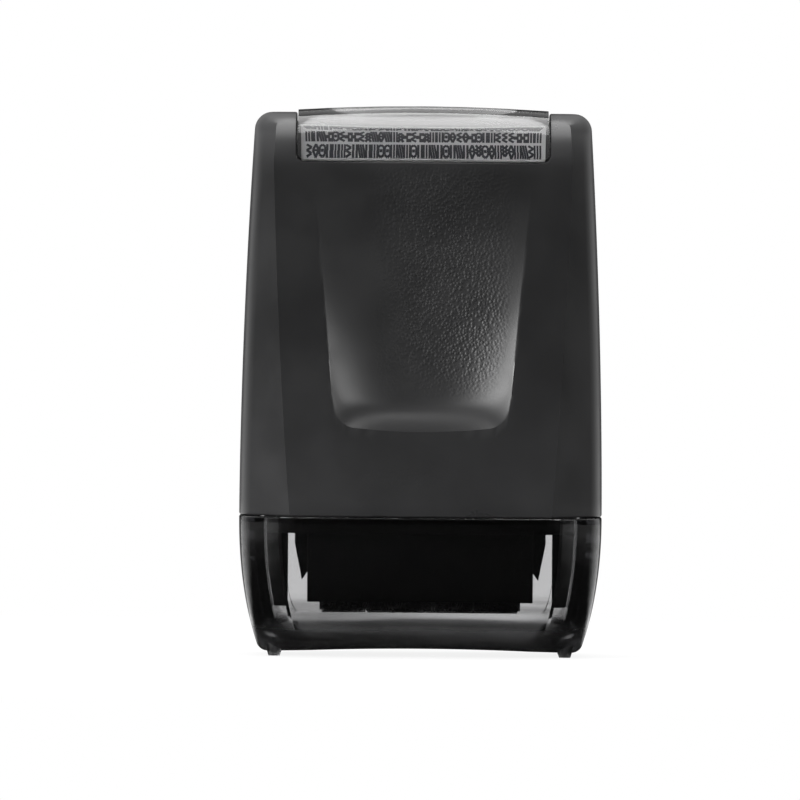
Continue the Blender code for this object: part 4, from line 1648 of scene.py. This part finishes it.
    def grain(self, point: Vector) -> float:
        """How strong the pebbled grain of the dish is at a point, from 0 to 1.

        Args:
            point: A point of the mesh.

        Returns:
            The strength.
        """
        form = self.form
        share = point.x * math.copysign(1, -point.y) / form.dish_half_at(point.z)
        up = (point.z - form.dish_foot) / (form.dish_head - form.dish_foot)
        across = max(1 - (abs(share - self.grain_middle) / self.grain_half) ** 3, 0.0)
        start, end = self.grain_span
        rise = min(max((up - start) / self.grain_rise, 0.0), 1.0)
        rise *= min(max((end - up) / self.grain_fall, 0.0), 1.0)
        places = zip((point.x, point.z), self.patch_middle, self.patch_half)
        low = sum(((place - middle) / half) ** 2 for place, middle, half in places)
        return max(across * rise, self.patch_strength * max(1 - low, 0.0))

    def grip(self, point: Vector) -> float:
        """How matt the dish's surface is at a point, from 0 to 1.

        Args:
            point: A point of the mesh.

        Returns:
            The share of the matt finish.
        """
        form = self.form
        share = abs(point.x) / form.dish_half_at(point.z)
        if share > 1.0 or point.z < form.dish_start(share):
            return 0.0
        fade = (form.dish_head + self.grip_fade[0] - point.z) / self.grip_fade[1]
        return min(max(fade, 0.0), 1.0)

    def build(self, paint: Paintbox) -> None:
        """Builds the two covers and sets them on the housing.

        Args:
            paint: Makes the materials.
        """
        front = smooth(self.cover())
        front.name = "front_cover_skin"
        # the edges get a painted highlight and rubbed wear
        marked(front, "edge", self.highlight_and_wear)
        marked(front, "grain", self.grain)
        marked(front, "grip", self.grip)
        back = linked("back_cover_skin", front.data.copy())
        back.data.transform(Matrix.Rotation(math.pi, 4, "Z"))
        for piece, node in ((front, "front_cover"), (back, "back_cover")):
            paint.dress(piece, Finish.HOUSING)
            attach(piece, "housing")
            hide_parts(node)
        log.info("covers: %d faces each", len(front.data.polygons))


@dataclass
class TopWindow:
    """The clear window over the printed card, on its white carrier."""

    housing: Housing
    gap: float = 0.12 * MM
    crown: float = 0.8 * MM
    edge_crown: float = 0.3 * MM
    wall: float = 1.0 * MM
    card_inset: float = 1.3 * MM
    card_thickness: float = 0.3 * MM
    card_half: float = 14.95 * MM
    marks_half: float = 14.4 * MM
    carrier_inset: float = 1.9 * MM
    carrier_wall: float = 1.2 * MM
    carrier_foot: float = 57.05 * MM
    ledge_width: float = 0.7 * MM
    ledge_insets: Point2 = (1.08 * MM, 1.8 * MM)
    first_row: float = 7.35 * MM  # of the marks, from the ridge towards the front
    row_count: int = 8
    marked_turn: float = math.radians(71)
    marks_lifts: Point2 = (-0.01 * MM, 0.03 * MM)
    window_edge: float = 0.18 * MM
    carrier_edge: float = 0.15 * MM

    def path(self, inset: float, low: float, steps: int) -> list[Point2]:
        """Points (depth, height) over the round top, from low in front to low behind.

        Args:
            inset: How far it lies inside the outer surface.
            low: Height of both ends.
            steps: How many points the round has.

        Returns:
            The points.
        """
        form = self.housing.form
        radius = form.top_radius - inset
        touch = form.arc_centre + radius * math.sin(form.lean)
        if low < touch:
            points = [(-form.depth_at(low, inset), low)]
            start = form.lean
        else:
            points = []
            start = math.asin((low - form.arc_centre) / radius)
        for turn in spaced(start, math.pi - start, steps):
            points.append((-radius * math.cos(turn), form.arc_centre + radius * math.sin(turn)))
        if low < touch:
            points.append((-points[0][0], low))
        return points

    def saddle(
        self,
        name: str,
        insets: Point2,
        low: float,
        half: float,
        columns: Sequence[float],
        crown: Callable[[float], float] | None = None,
        steps: int = 49,
    ) -> Piece:
        """A curved plate over the top.

        Args:
            name: The object's name.
            insets: Depth of its outer and of its inner face under the housing's outside.
            low: Height of its lower edges.
            half: Half its width.
            columns: Places across, as shares of the half width.
            crown: Extra height of the outer face at a place across.
            steps: How many points its round has.

        Returns:
            The object.
        """
        outer = self.path(insets[0], low, steps)
        inner = self.path(insets[1], low, steps)
        top = self.housing.form.top - insets[0]

        def build(bm: bmesh.types.BMesh) -> None:
            """Adds the outer face, the inner face and the edges.

            Args:
                bm: The mesh that takes the faces.
            """
            rings = []
            for column in columns:
                x = half * column
                lift = crown(x) if crown else 0.0
                ring = []
                for y, z in outer:
                    up = max((z - low) / (top - low), 0.0)
                    ring.append(bm.verts.new((x, y, z + lift * math.sin(up * math.pi / 2) ** 2)))
                rings.append(ring + [bm.verts.new((x, y, z)) for y, z in reversed(inner)])
            count = len(rings[0])
            for ring, after in zip(rings, rings[1:]):
                for i in range(count):
                    j = (i + 1) % count
                    bm.faces.new((ring[i], ring[j], after[j], after[i]))
            for ring in (rings[0], rings[-1]):
                for i in range(len(outer) - 1):
                    corners = (ring[i], ring[i + 1], ring[count - 2 - i], ring[count - 1 - i])
                    bm.faces.new(corners)

        return solid(name, build)

    def window_crown(self, x: float) -> float:
        """How far the window's ridge stands over the shoulders at a place across."""
        share = (x / self.housing.form.notch_half) ** 2
        return self.crown - (self.crown - self.edge_crown) * share

    def card_surface(self, across: float, along: float, lift: float) -> Point3:
        """Point on the card, measured along its curve from the ridge towards the front.

        Args:
            across: Place across the stamp.
            along: Distance from the ridge, towards the front.
            lift: Height above the surface.

        Returns:
            The point.
        """
        form = self.housing.form
        radius = form.top_radius - self.card_inset
        turn = along / radius
        reach = radius + lift
        return (across, -reach * math.sin(turn), form.arc_centre + reach * math.cos(turn))

    def build(self, paint: Paintbox) -> None:
        """Builds the window, the card with its marks, and the carrier.

        Args:
            paint: Makes the materials.
        """
        form = self.housing.form
        half = form.notch_half - self.gap
        spread = spaced(-1, 1, 25)
        window = self.saddle(
            "window_pane", (0.0, self.wall), form.window_foot, half, spread, self.window_crown
        )
        combine(window, self.housing.notch(self.gap), "INTERSECT")
        bevelled(window, self.window_edge, 3)
        highlight_and_wear_edges(smooth(window, 40))
        card = self.saddle(
            "sample_card",
            (self.card_inset, self.card_inset + self.card_thickness),
            form.window_foot + self.gap,
            self.card_half,
            (-1, 0, 1),
        )
        smooth(card)
        carrier = self.saddle(
            "card_carrier",
            (self.carrier_inset, self.carrier_inset + self.carrier_wall),
            self.carrier_foot,
            half,
            (-1, 0, 1),
        )
        bevelled(carrier, self.carrier_edge)
        highlight_and_wear_edges(smooth(carrier))
        pattern = MaskingPattern()
        rows = [self.first_row - number * pattern.row_pitch for number in range(self.row_count)]
        reach = (form.top_radius - self.card_inset) * self.marked_turn
        rows = [row for row in rows if abs(row) + pattern.height / 2 < reach]
        marks = pattern.build(
            "card_marks", self.card_surface, self.marks_half * 2, rows, self.marks_lifts
        )
        for side, word in SIDES:
            ledge = self.saddle(
                "window_ledge_" + word,
                self.ledge_insets,
                form.window_foot,
                side * (form.notch_half + self.gap),
                (1 - self.ledge_width / form.notch_half, 1.0),
            )
            smooth(ledge)
            paint.dress(ledge, Finish.HOUSING)
            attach(ledge, "housing")
        for piece, finish in (
            (window, Finish.WINDOW),
            (card, Finish.CARD),
            (carrier, Finish.ACETAL),
            (marks, Finish.CARD_INK),
        ):
            paint.dress(piece, finish)
            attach(piece, "housing")
        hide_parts("label_window")
        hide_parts("label_card")
        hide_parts("label_carrier")
        log.info("top window: %d rows of marks", len(rows))


@dataclass
class Cap:
    """The smoke-clear cap: a rounded shell with four posts that it stands on."""

    form: StampForm
    foot: float = 0.25 * MM
    floor: float = 1.75 * MM
    arch: float = 0.75 * MM
    post: Point2 = (17.94 * MM, 5.1 * MM)
    post_height: float = 3.8 * MM
    post_radius: float = 1.5 * MM
    foot_radius: float = 0.7 * MM
    rim: float = 0.25 * MM
    overrun: float = 1 * MM

    def skin(self, name: str, insets: Point2, foot: float, top: float) -> Piece:
        """The cap's outside, or its hollow, as a fine solid.

        Args:
            name: The object's name.
            insets: How far it lies inside the outside, at the sides and in front.
            foot: Height of its lowest face.
            top: Height of its top, over the seam for the hollow.

        Returns:
            The object.
        """
        form = self.form
        reach = form.cap_front_round - insets[1]
        heights = [foot + reach * (1 - math.cos(turn)) for turn in spaced(0, math.pi / 2, 19)]
        heights += spaced(heights[-1], form.seam - self.rim, 16)[1:]
        heights += [form.seam - self.rim * share for share in (0.7, 0.45, 0.22, 0.08, 0.0)]
        if top > form.seam:
            heights.append(top)
        loops = []
        facet = form.cap_facet - insets[0]
        side_round = form.cap_inner_round if insets[0] else form.cap_side_round
        for z in heights:
            roll = rolled(form.seam - z, self.rim) if z <= form.seam else self.rim
            roll = roll if insets[1] == 0 else -roll
            grown = (insets[0] + roll, insets[1] + roll)
            width, depth = form.cap_sizes_at(min(z, form.seam), grown, foot, side_round)
            panel = [share * (width - facet) for share in spaced(0, 0.95, 12)]
            side = (0.85, 0.65, 0.45, 0.25, 0.0)
            quarter = form.quarter((width, depth), facet, 0.0, panel, side, 6)
            fade = max(1 - (z - foot) / reach, 0.0)
            loop = []
            for x, y in whole_loop(quarter):
                lift = self.arch * max(1 - (x / form.half_width) ** 2, 0.0)
                loop.append((x, y, z + fade * lift))
            loops.append(loop)
        return lofted(name, loops, strips=True)

    def corner_post(self, x: float, y: float) -> Piece:
        """One post: a funnel that widens upwards from a flat foot.

        Args:
            x: The post's place across.
            y: Its place from front to back.

        Returns:
            The post.
        """
        loops = []
        for share in spaced(0, 1, 9):
            radius = self.foot_radius + (self.post_radius - self.foot_radius) * share**0.8
            z = self.post_height * share
            loops.append([(x + a, y + b, z) for a, b in circle(radius, 40)])
        for share in (0.35, 0.7, 0.92):
            radius = self.post_radius * math.sqrt(1 - share**2)
            z = self.post_height + self.post_radius * share * 0.4
            loops.append([(x + a, y + b, z) for a, b in circle(radius, 40)])
        return lofted("post", loops)

    def build(self, paint: Paintbox) -> None:
        """Builds the cap and sets it on its body.

        Args:
            paint: Makes the materials.
        """
        form = self.form
        cap = self.skin("cap_shell", (0.0, 0.0), self.foot, form.seam)
        walls = (form.cap_side_wall, form.wall)
        cut(cap, self.skin("hollow", walls, self.foot + self.floor, form.seam + self.overrun))
        x, y = self.post
        for across in (-x, x):
            for along in (-y, y):
                join(cap, self.corner_post(across, along))
        highlight_and_wear_edges(smooth(cap, 35))
        paint.dress(cap, Finish.SMOKE)
        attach(cap, "cap")
        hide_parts("cap")
        log.info("cap: %d faces", len(cap.data.polygons))


@dataclass
class Cartridge:
    """The hood, its lid and its ears, and the axles of both rollers."""

    form: StampForm
    print_z: float = 12.85 * MM
    ink_z: float = 26.65 * MM
    cage_half: float = 12.85 * MM
    frame_half: float = 13.85 * MM
    hood_inner: float = 8.6 * MM
    hood_outer: float = 9.6 * MM
    cage_depth: float = 6.2 * MM
    frame_depth: float = 7.2 * MM
    lip: float = 6.75 * MM
    frame_top: float = 33.55 * MM
    axle: float = 1.2 * MM
    ink_axle: float = 1.0 * MM
    bevel: float = 0.15 * MM
    ear_gap: float = 0.3 * MM
    ear_near: float = 0.05 * MM  # how near its inner face a point of an ear counts as on it
    ear_seat: float = 0.02 * MM
    clearance: float = 0.3 * MM
    peg: float = 1.0 * MM
    peg_rise: float = 3.0 * MM
    overrun: float = 1 * MM

    def outline(self, radius: float, depth: float, low: float, high: float) -> list[Point2]:
        """Side view of the hood: an arc round the print roller under straight walls.

        Args:
            radius: Radius of the arc.
            depth: Half the distance of the walls.
            low: Height of the arc's ends.
            high: Height of the walls' tops.

        Returns:
            The outline.
        """
        lower = math.asin(max((low - self.print_z) / radius, -1.0))
        upper = math.acos(min(depth / radius, 1.0))
        right = []
        for turn in spaced(lower, upper, 36):
            right.append((radius * math.cos(turn), self.print_z + radius * math.sin(turn)))
        right.append((depth, high))
        return right + [(-y, z) for y, z in reversed(right)]

    def frame(self) -> Piece:
        """The hood with both cheeks.

        Returns:
            The hood, with its bores and slots.
        """
        outer = self.outline(self.hood_outer, self.frame_depth, self.lip, self.frame_top)
        piece = prism("hood", outer, -self.frame_half, self.frame_half, Axis.X)
        high = self.frame_top + self.overrun
        inner = self.outline(self.hood_inner, self.cage_depth, self.lip - self.overrun / 2, high)
        cut(piece, prism("inside", inner, -self.cage_half, self.cage_half, Axis.X))
        reach = self.frame_half + self.overrun
        for radius, z in ((self.axle, self.print_z), (self.ink_axle, self.ink_z)):
            hole = prism("hole", circle(radius + self.clearance, 48), -reach, reach, Axis.X)
            cut(piece, shifted(hole, 0.0, 0.0, z))
        seat = self.ink_axle + self.clearance
        cut(piece, block("slot", (-reach, -seat, self.ink_z), (reach, seat, high)))
        peg = prism("peg", circle(self.peg, 40), -reach, reach, Axis.X)
        cut(piece, shifted(peg, 0.0, 0.0, self.form.seam + self.peg_rise))
        return piece

    def pressed_home(self, point: Vector) -> Vector:
        """Moves a point of an ear's inner face up to the hood's cheek.

        Args:
            point: A point of the ear.

        Returns:
            Where it goes.
        """
        near = self.frame_half + self.ear_gap
        if abs(abs(point.x) - near) < self.ear_near:
            x = math.copysign(self.frame_half + self.ear_seat, point.x)
            return Vector((x, point.y, point.z))
        return point

    def build(self, paint: Paintbox, frame: dict) -> None:
        """Builds the hood and the axles, and dresses the lid and the ears.

        Args:
            paint: Makes the materials.
        """
        hood = bevelled(self.frame(), self.bevel)
        hood.name = "cartridge_hood"
        highlight_and_wear_edges(smooth(hood, 28))
        paint.dress(hood, Finish.INNER)
        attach(hood, "cartridge")
        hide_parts("cartridge_frame")
        reworked(frame, paint, "cartridge_cover", "cartridge", Finish.INNER, self.bevel)
        for node in ("cartridge_ear_left", "cartridge_ear_right"):
            reworked(frame, paint, node, "cartridge", Finish.INNER, self.bevel, self.pressed_home)
        half = self.frame_half
        for node, radius, z in (
            ("print_roller_axle", self.axle, self.print_z),
            ("ink_roller_axle", self.ink_axle, self.ink_z),
        ):
            pin = [(-half, 0.0), (-half, radius), (half, radius), (half, 0.0)]
            axle = smooth(shifted(turned(node + "_pin", pin, 64, self.bevel), 0.0, 0.0, z))
            paint.dress(axle, Finish.STEEL)
            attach(axle, "cartridge")
            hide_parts(node)
        log.info("cartridge: hood of %d faces", len(hood.data.polygons))


def reworked(
    frame: dict,
    paint: Paintbox,
    node: str,
    body: str,
    finish: Finish,
    bevel: float,
    moved: Callable[[Vector], Vector] | None = None,
) -> Piece:
    """Replaces a node by its own shape with rounded edges and a full finish.

    Args:
        paint: Makes the materials.
        node: The node to replace.
        body: The body that it rides on.
        finish: Its finish.
        bevel: Radius of its edges.
        moved: Where each of its points goes, if not left in place.

    Returns:
        The new piece.
    """
    piece = linked(node + "_finished", frame["nodes"][node].data.copy())
    if moved:
        for vertex in piece.data.vertices:
            vertex.co = moved(vertex.co)
    bevelled(piece, bevel)
    highlight_and_wear_edges(smooth(piece, 28))
    paint.dress(piece, finish)
    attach(piece, body)
    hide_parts(node)
    return piece


@dataclass
class Rollers:
    """The print roller with its raised marks, and the ink roller above it."""

    cartridge: Cartridge
    print_radius: float = 8.0 * MM
    relief: float = 0.35 * MM
    print_half: float = 12.35 * MM
    sleeve_wall: float = 1.5 * MM
    core_radius: float = 6.2 * MM
    core_wall: float = 1.2 * MM
    core_end: float = 3.0 * MM
    bush_radius: float = 2.3 * MM
    bush_bore: float = 1.3 * MM
    bush_stand: float = 0.3 * MM
    ink_radius: float = 5.5 * MM
    foam_wall: float = 2.6 * MM
    ink_core_half: float = 12.65 * MM
    ink_flange: float = 0.7 * MM
    flange_reach: float = 1.4 * MM
    seat: float = 0.3 * MM
    ease: float = 0.12 * MM
    foam_ease: float = 0.3 * MM
    ink_bore: float = 1.1 * MM
    marks_margin: float = 0.4 * MM
    marks_root: float = 0.05 * MM

    def print_surface(self, across: float, along: float, lift: float) -> Point3:
        """Point on the print sleeve, measured round it.

        Args:
            across: Place across the stamp.
            along: Distance round the sleeve.
            lift: Height above the surface.

        Returns:
            The point, with the roller's axis at 0.
        """
        base = self.print_radius - self.relief
        turn = along / self.print_radius
        return (across, (base + lift) * math.sin(turn), (base + lift) * math.cos(turn))

    def placed(
        self,
        piece: Piece,
        z: float,
        body: str,
        finish: Finish,
        paint: Paintbox,
        node: str | None = None,
    ) -> Piece:
        """Sets a turned piece on its axis, and gives it its body and finish.

        Args:
            piece: The piece.
            z: Height of its axis.
            body: The body that it rides on.
            finish: Its finish.
            paint: Makes the materials.
            node: The node that it replaces, if any.

        Returns:
            The same piece.
        """
        shifted(piece, 0.0, 0.0, z)
        paint.dress(piece, finish)
        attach(piece, body)
        if node:
            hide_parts(node)
        return piece

    def build_print_roller(self, paint: Paintbox) -> None:
        """Builds the sleeve, its marks, the core and the bushes.

        Args:
            paint: Makes the materials.
        """
        z = self.cartridge.print_z
        half = self.print_half
        inner = self.print_radius - self.sleeve_wall
        outline = tube(-half, half, inner, self.print_radius - self.relief)
        sleeve = smooth(turned("print_sleeve", outline, 128, self.ease))
        node = "print_roller_sleeve"
        self.placed(sleeve, z, "print_roller", Finish.RUBBER, paint, node)
        pattern = MaskingPattern(seed=11, bold=1.4)
        count = round(2 * math.pi * self.print_radius / pattern.row_pitch)
        rows = [i * 2 * math.pi * self.print_radius / count for i in range(count)]
        lifts = (-self.marks_root, self.relief)
        width = (half - self.marks_margin) * 2
        marks = pattern.build("print_sleeve_marks", self.print_surface, width, rows, lifts)
        self.placed(marks, z, "print_roller", Finish.RUBBER, paint)
        bore = self.bush_radius + self.seat
        hollow, end = self.core_radius - self.core_wall, half - self.core_end
        core = [(-half, bore), (-half, self.core_radius), (half, self.core_radius), (half, bore)]
        core += [(end, bore), (end, hollow), (-end, hollow), (-end, bore)]
        piece = smooth(turned("print_core", core, 96, self.ease))
        self.placed(piece, z, "print_roller", Finish.ACETAL, paint, "print_roller_core")
        for side, word in SIDES:
            ends = sorted((side * end, side * (half + self.bush_stand)))
            outline = tube(ends[0], ends[1], self.bush_bore, self.bush_radius)
            bush = smooth(turned("print_bush_" + word, outline, 64, self.ease))
            node = "print_roller_bush_" + word
            self.placed(bush, z, "print_roller", Finish.BRONZE, paint, node)

    def build_ink_roller(self, paint: Paintbox) -> None:
        """Builds the foam, the core and the flanges.

        Args:
            paint: Makes the materials.
        """
        z = self.cartridge.ink_z
        half = self.ink_core_half
        core_radius = self.ink_radius - self.foam_wall - self.seat
        foam_half = half - self.ink_flange - self.seat
        outline = tube(-foam_half, foam_half, self.ink_radius - self.foam_wall, self.ink_radius)
        foam = smooth(turned("ink_foam_sleeve", outline, 96, self.foam_ease))
        self.placed(foam, z, "ink_roller", Finish.FOAM, paint, "ink_roller_foam")
        outline = tube(-half, half, self.ink_bore, core_radius)
        core = smooth(turned("ink_core", outline, 64, self.ease))
        self.placed(core, z, "ink_roller", Finish.ACETAL, paint, "ink_roller_core")
        for side, word in SIDES:
            ends = sorted((side * (foam_half + self.seat), side * half))
            inner = core_radius + self.seat
            outline = tube(ends[0], ends[1], inner, inner + self.flange_reach)
            ring = smooth(turned("ink_flange_" + word, outline, 64, self.ease))
            node = "ink_roller_flange_" + word
            self.placed(ring, z, "ink_roller", Finish.ACETAL, paint, node)

    def build(self, paint: Paintbox) -> None:
        """Builds both rollers.

        Args:
            paint: Makes the materials.
        """
        self.build_print_roller(paint)
        self.build_ink_roller(paint)
        log.info("rollers built")


# Studio


@dataclass
class SoftBox:
    """One soft lamp, aimed at the stamp."""

    name: str
    place: Point3
    size: Point2
    power: float

    def build(self, target: Vector) -> None:
        """Adds the lamp, which the camera doesn't see.

        Args:
            target: The point that it faces.
        """
        data = bpy.data.lights.new(self.name, "AREA")
        data.shape = "RECTANGLE"
        data.size, data.size_y = self.size
        data.energy = self.power
        lamp = linked(self.name, data)
        lamp.location = self.place
        lamp.rotation_euler = (target - Vector(self.place)).to_track_quat("-Z", "Y").to_euler()
        lamp.visible_camera = False
        lamp.visible_transmission = False


@dataclass
class Studio:
    """White surroundings, soft lamps, a pale floor and the camera."""

    pixels: float = 800.0
    scale: float = 8.07  # pixels for each millimetre at the stamp
    middle: Point2 = (421.3, 655.0)  # pixel of the middle of the foot
    distance: float = 1.3
    elevation: float = math.radians(0.6)
    roll: float = math.radians(0.45)
    sensor: float = 36.0
    clip: Point2 = (0.05, 20.0)
    surround: float = 0.34
    ceiling: float = 0.4
    ceiling_span: Point2 = (0.25, 0.85)  # these spans are heights or depths of a direction
    back: float = 0.7
    back_span: Point2 = (0.2, 0.7)
    dark_wall: tuple[float, float, float, float] = (0.82, 0.94, 1.0, 0.05)
    trapped_loss: float = 0.3  # of light that has bounced inside a clear piece
    under_glow: float = 0.3  # least lightness painted into the floor where a clear piece shows it
    front: Point2 = (0.005, 0.1)  # how light the room in front is, low down and high up
    front_span: Point2 = (0.05, 0.4)
    # a span of directions or distances, and how light it is at each end of it
    floor_back: tuple[float, float, float, float] = (0.1, 0.7, 0.01, 0.85)
    floor_shade: tuple[float, float, float, float] = (0.03, 0.16, 0.86, 1.0)
    floor_clear: Point2 = (0.03, 0.09)  # distances where it turns white behind a clear piece
    floor_reach: float = 6.0
    aim: Point3 = (0.0, 0.0, 0.034)
    lamps: tuple[SoftBox, ...] = (
        SoftBox("left_box", (-0.66, -0.43, 0.1), (0.25, 0.5), 15.5),
        SoftBox("right_box", (0.66, -0.45, 0.1), (0.25, 0.5), 5.5),
        SoftBox("top_box", (0.0, 0.14, 0.83), (0.6, 0.7), 5.0),
    )

    def build_camera(self) -> None:
        """Adds the camera at the photograph's angle."""
        data = bpy.data.cameras.new("camera")
        camera = linked("camera", data)
        bpy.context.scene.camera = camera
        field_width = self.pixels / self.scale * MM
        data.sensor_width = self.sensor
        data.lens = self.sensor * self.distance / field_width
        data.clip_start, data.clip_end = self.clip
        half = self.pixels / 2
        across = (half - self.middle[0]) / self.scale * MM
        up = (self.middle[1] - half) / self.scale * MM
        target = Vector((across, 0.0, up))
        back = Vector((0.0, -math.cos(self.elevation), math.sin(self.elevation)))
        camera.location = target + back * self.distance
        aim = (-back).to_track_quat("-Z", "Y").to_matrix()
        turn = Matrix.Rotation(self.roll, 3, back)
        camera.rotation_euler = (turn @ aim).to_euler()

    def untrapped(self, wires: Wiring, path: bpy.types.bpy_prop_collection) -> Socket:
        """What is left of the light on its way through a clear piece, less once it has bounced.

        Args:
            wires: Adds the nodes.
            path: The outputs of a Light Path node.

        Returns:
            The share that is left.
        """
        bounced = wires.math("GREATER_THAN", path["Glossy Depth"], HALF_BOUNCE)
        trapped = wires.math("MULTIPLY", bounced, path["Is Transmission Ray"])
        return wires.math("SUBTRACT", 1.0, wires.math("MULTIPLY", trapped, self.trapped_loss))

    def direct(self, wires: Wiring, path: bpy.types.bpy_prop_collection) -> Socket:
        """Tells whether a ray has come without a bounce."""
        bounces = wires.math("ADD", path["Diffuse Depth"], path["Glossy Depth"])
        return wires.math("LESS_THAN", bounces, HALF_BOUNCE)

    def build_world(self) -> None:
        """Makes surroundings that look white, and light the stamp softly from behind and above."""
        world = bpy.data.worlds.new("surroundings")
        bpy.context.scene.world = world
        world.use_nodes = True
        world.node_tree.nodes.clear()
        wires = Wiring(world.node_tree)
        path = wires.node("ShaderNodeLightPath").outputs
        direction = wires.node("ShaderNodeSeparateXYZ")
        wires.feed(direction, 0, wires.node("ShaderNodeTexCoord").outputs["Generated"])
        behind = wires.spread(direction.outputs["Y"], *self.back_span, 0.0, self.back)
        straight = wires.spread(direction.outputs["Y"], *self.dark_wall)
        behind = wires.math("MULTIPLY", behind, straight)
        ahead = wires.spread(direction.outputs["Z"], *self.front_span, *self.front)
        above = wires.spread(direction.outputs["Z"], *self.ceiling_span, 0.0, self.ceiling)
        glossy = wires.math("MAXIMUM", behind, wires.math("MAXIMUM", ahead, above))
        glossy = wires.math("MULTIPLY", path["Is Glossy Ray"], glossy)
        untrapped = self.untrapped(wires, path)
        dull = wires.math("SUBTRACT", 1.0, path["Is Glossy Ray"])
        dull = wires.math("MULTIPLY", dull, wires.math("ADD", above, self.surround))
        seen = wires.math("MAXIMUM", path["Is Camera Ray"], path["Is Transmission Ray"])
        seen = wires.math("MULTIPLY", seen, self.direct(wires, path))
        light = wires.node("ShaderNodeBackground")
        wires.feed(light, "Color", (1.0, 1.0, 1.0, 1.0))
        rest = wires.math("MULTIPLY", wires.math("ADD", glossy, dull), untrapped)
        strength = wires.math("MAXIMUM", seen, rest)
        wires.feed(light, "Strength", strength)
        output = wires.node("ShaderNodeOutputWorld")
        wires.feed(output, "Surface", light.outputs[0])

    def build_floor(self) -> None:
        """Adds the white floor, which keeps a faint shadow of the stamp; its colour and glow are
        painted light, darker in front and glowing behind in reflections and where a clear piece
        shows it.
        """
        mesh = bpy.data.meshes.new("floor")
        reach = self.floor_reach
        corners = [(-reach, -reach, 0), (reach, -reach, 0), (reach, reach, 0), (-reach, reach, 0)]
        mesh.from_pydata(corners, [], [(0, 1, 2, 3)])
        floor = linked("floor", mesh)
        graph = Graph("white_floor")
        graph.set(Roughness=0.8, Specular_IOR_Level=0.1)
        split = graph.node("ShaderNodeSeparateXYZ")
        graph.feed(split, 0, graph.place)
        away = graph.node("ShaderNodeVectorMath", operation="LENGTH")
        graph.feed(away, 0, graph.place)
        path = graph.node("ShaderNodeLightPath").outputs
        straight = graph.math("DIVIDE", split.outputs["Y"], away.outputs["Value"])
        # Painted light: the floor's colour is darker in front and lighter behind for reflections.
        behind = graph.spread(straight, *self.floor_back)
        through = path["Is Transmission Ray"]
        wall = graph.math("MAXIMUM", graph.spread(straight, *self.dark_wall), through)
        behind = graph.math("MULTIPLY", behind, wall)
        direct = self.direct(graph, path)
        under = graph.math("MULTIPLY", graph.math("MULTIPLY", through, direct), self.under_glow)
        behind = graph.math("MULTIPLY", behind, self.untrapped(graph, path))
        behind = graph.math("MAXIMUM", behind, under)
        graph.link(graph.math("MAXIMUM", path["Is Camera Ray"], behind), "Base Color")
        clear = graph.spread(away.outputs["Value"], *self.floor_clear, 0.0, 1.0)
        clear = graph.math("MULTIPLY", clear, direct)
        seen = graph.spread(away.outputs["Value"], *self.floor_shade)
        share = graph.math("MULTIPLY", path["Is Camera Ray"], seen)
        # Painted light: the floor glows in reflections and where a clear piece shows it.
        for ray, part in (("Is Transmission Ray", clear), ("Is Glossy Ray", behind)):
            share = graph.math("MAXIMUM", share, graph.math("MULTIPLY", path[ray], part))
        glow = graph.node("ShaderNodeEmission")
        mix = graph.node("ShaderNodeMixShader")
        graph.feed(mix, 0, share)
        graph.feed(mix, 1, graph.shader.outputs[0])
        graph.feed(mix, 2, glow.outputs[0])
        graph.feed(graph.output, "Surface", mix.outputs[0])
        mesh.materials.append(graph.material)

    def build(self) -> None:
        """Builds the whole studio, with the plain view transform."""
        bpy.context.scene.view_settings.view_transform = "Standard"
        self.build_world()
        self.build_floor()
        self.build_camera()
        for lamp in self.lamps:
            lamp.build(Vector(self.aim))
        log.info("studio built")


def main() -> None:
    logging.basicConfig(level=logging.INFO, format="%(name)s %(message)s")
    for thing in list(bpy.data.objects):
        bpy.data.objects.remove(thing, do_unlink=True)
    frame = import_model()
    paint = Paintbox()
    form = StampForm()
    housing = Housing(form)
    housing.build(paint)
    TopWindow(housing).build(paint)
    reworked(frame, paint, "chassis", "housing", Finish.INNER, CHASSIS_EDGE)
    Cap(form).build(paint)
    cartridge = Cartridge(form)
    cartridge.build(paint, frame)
    Rollers(cartridge).build(paint)
    Studio().build()


if __name__ == "__main__":
    main()
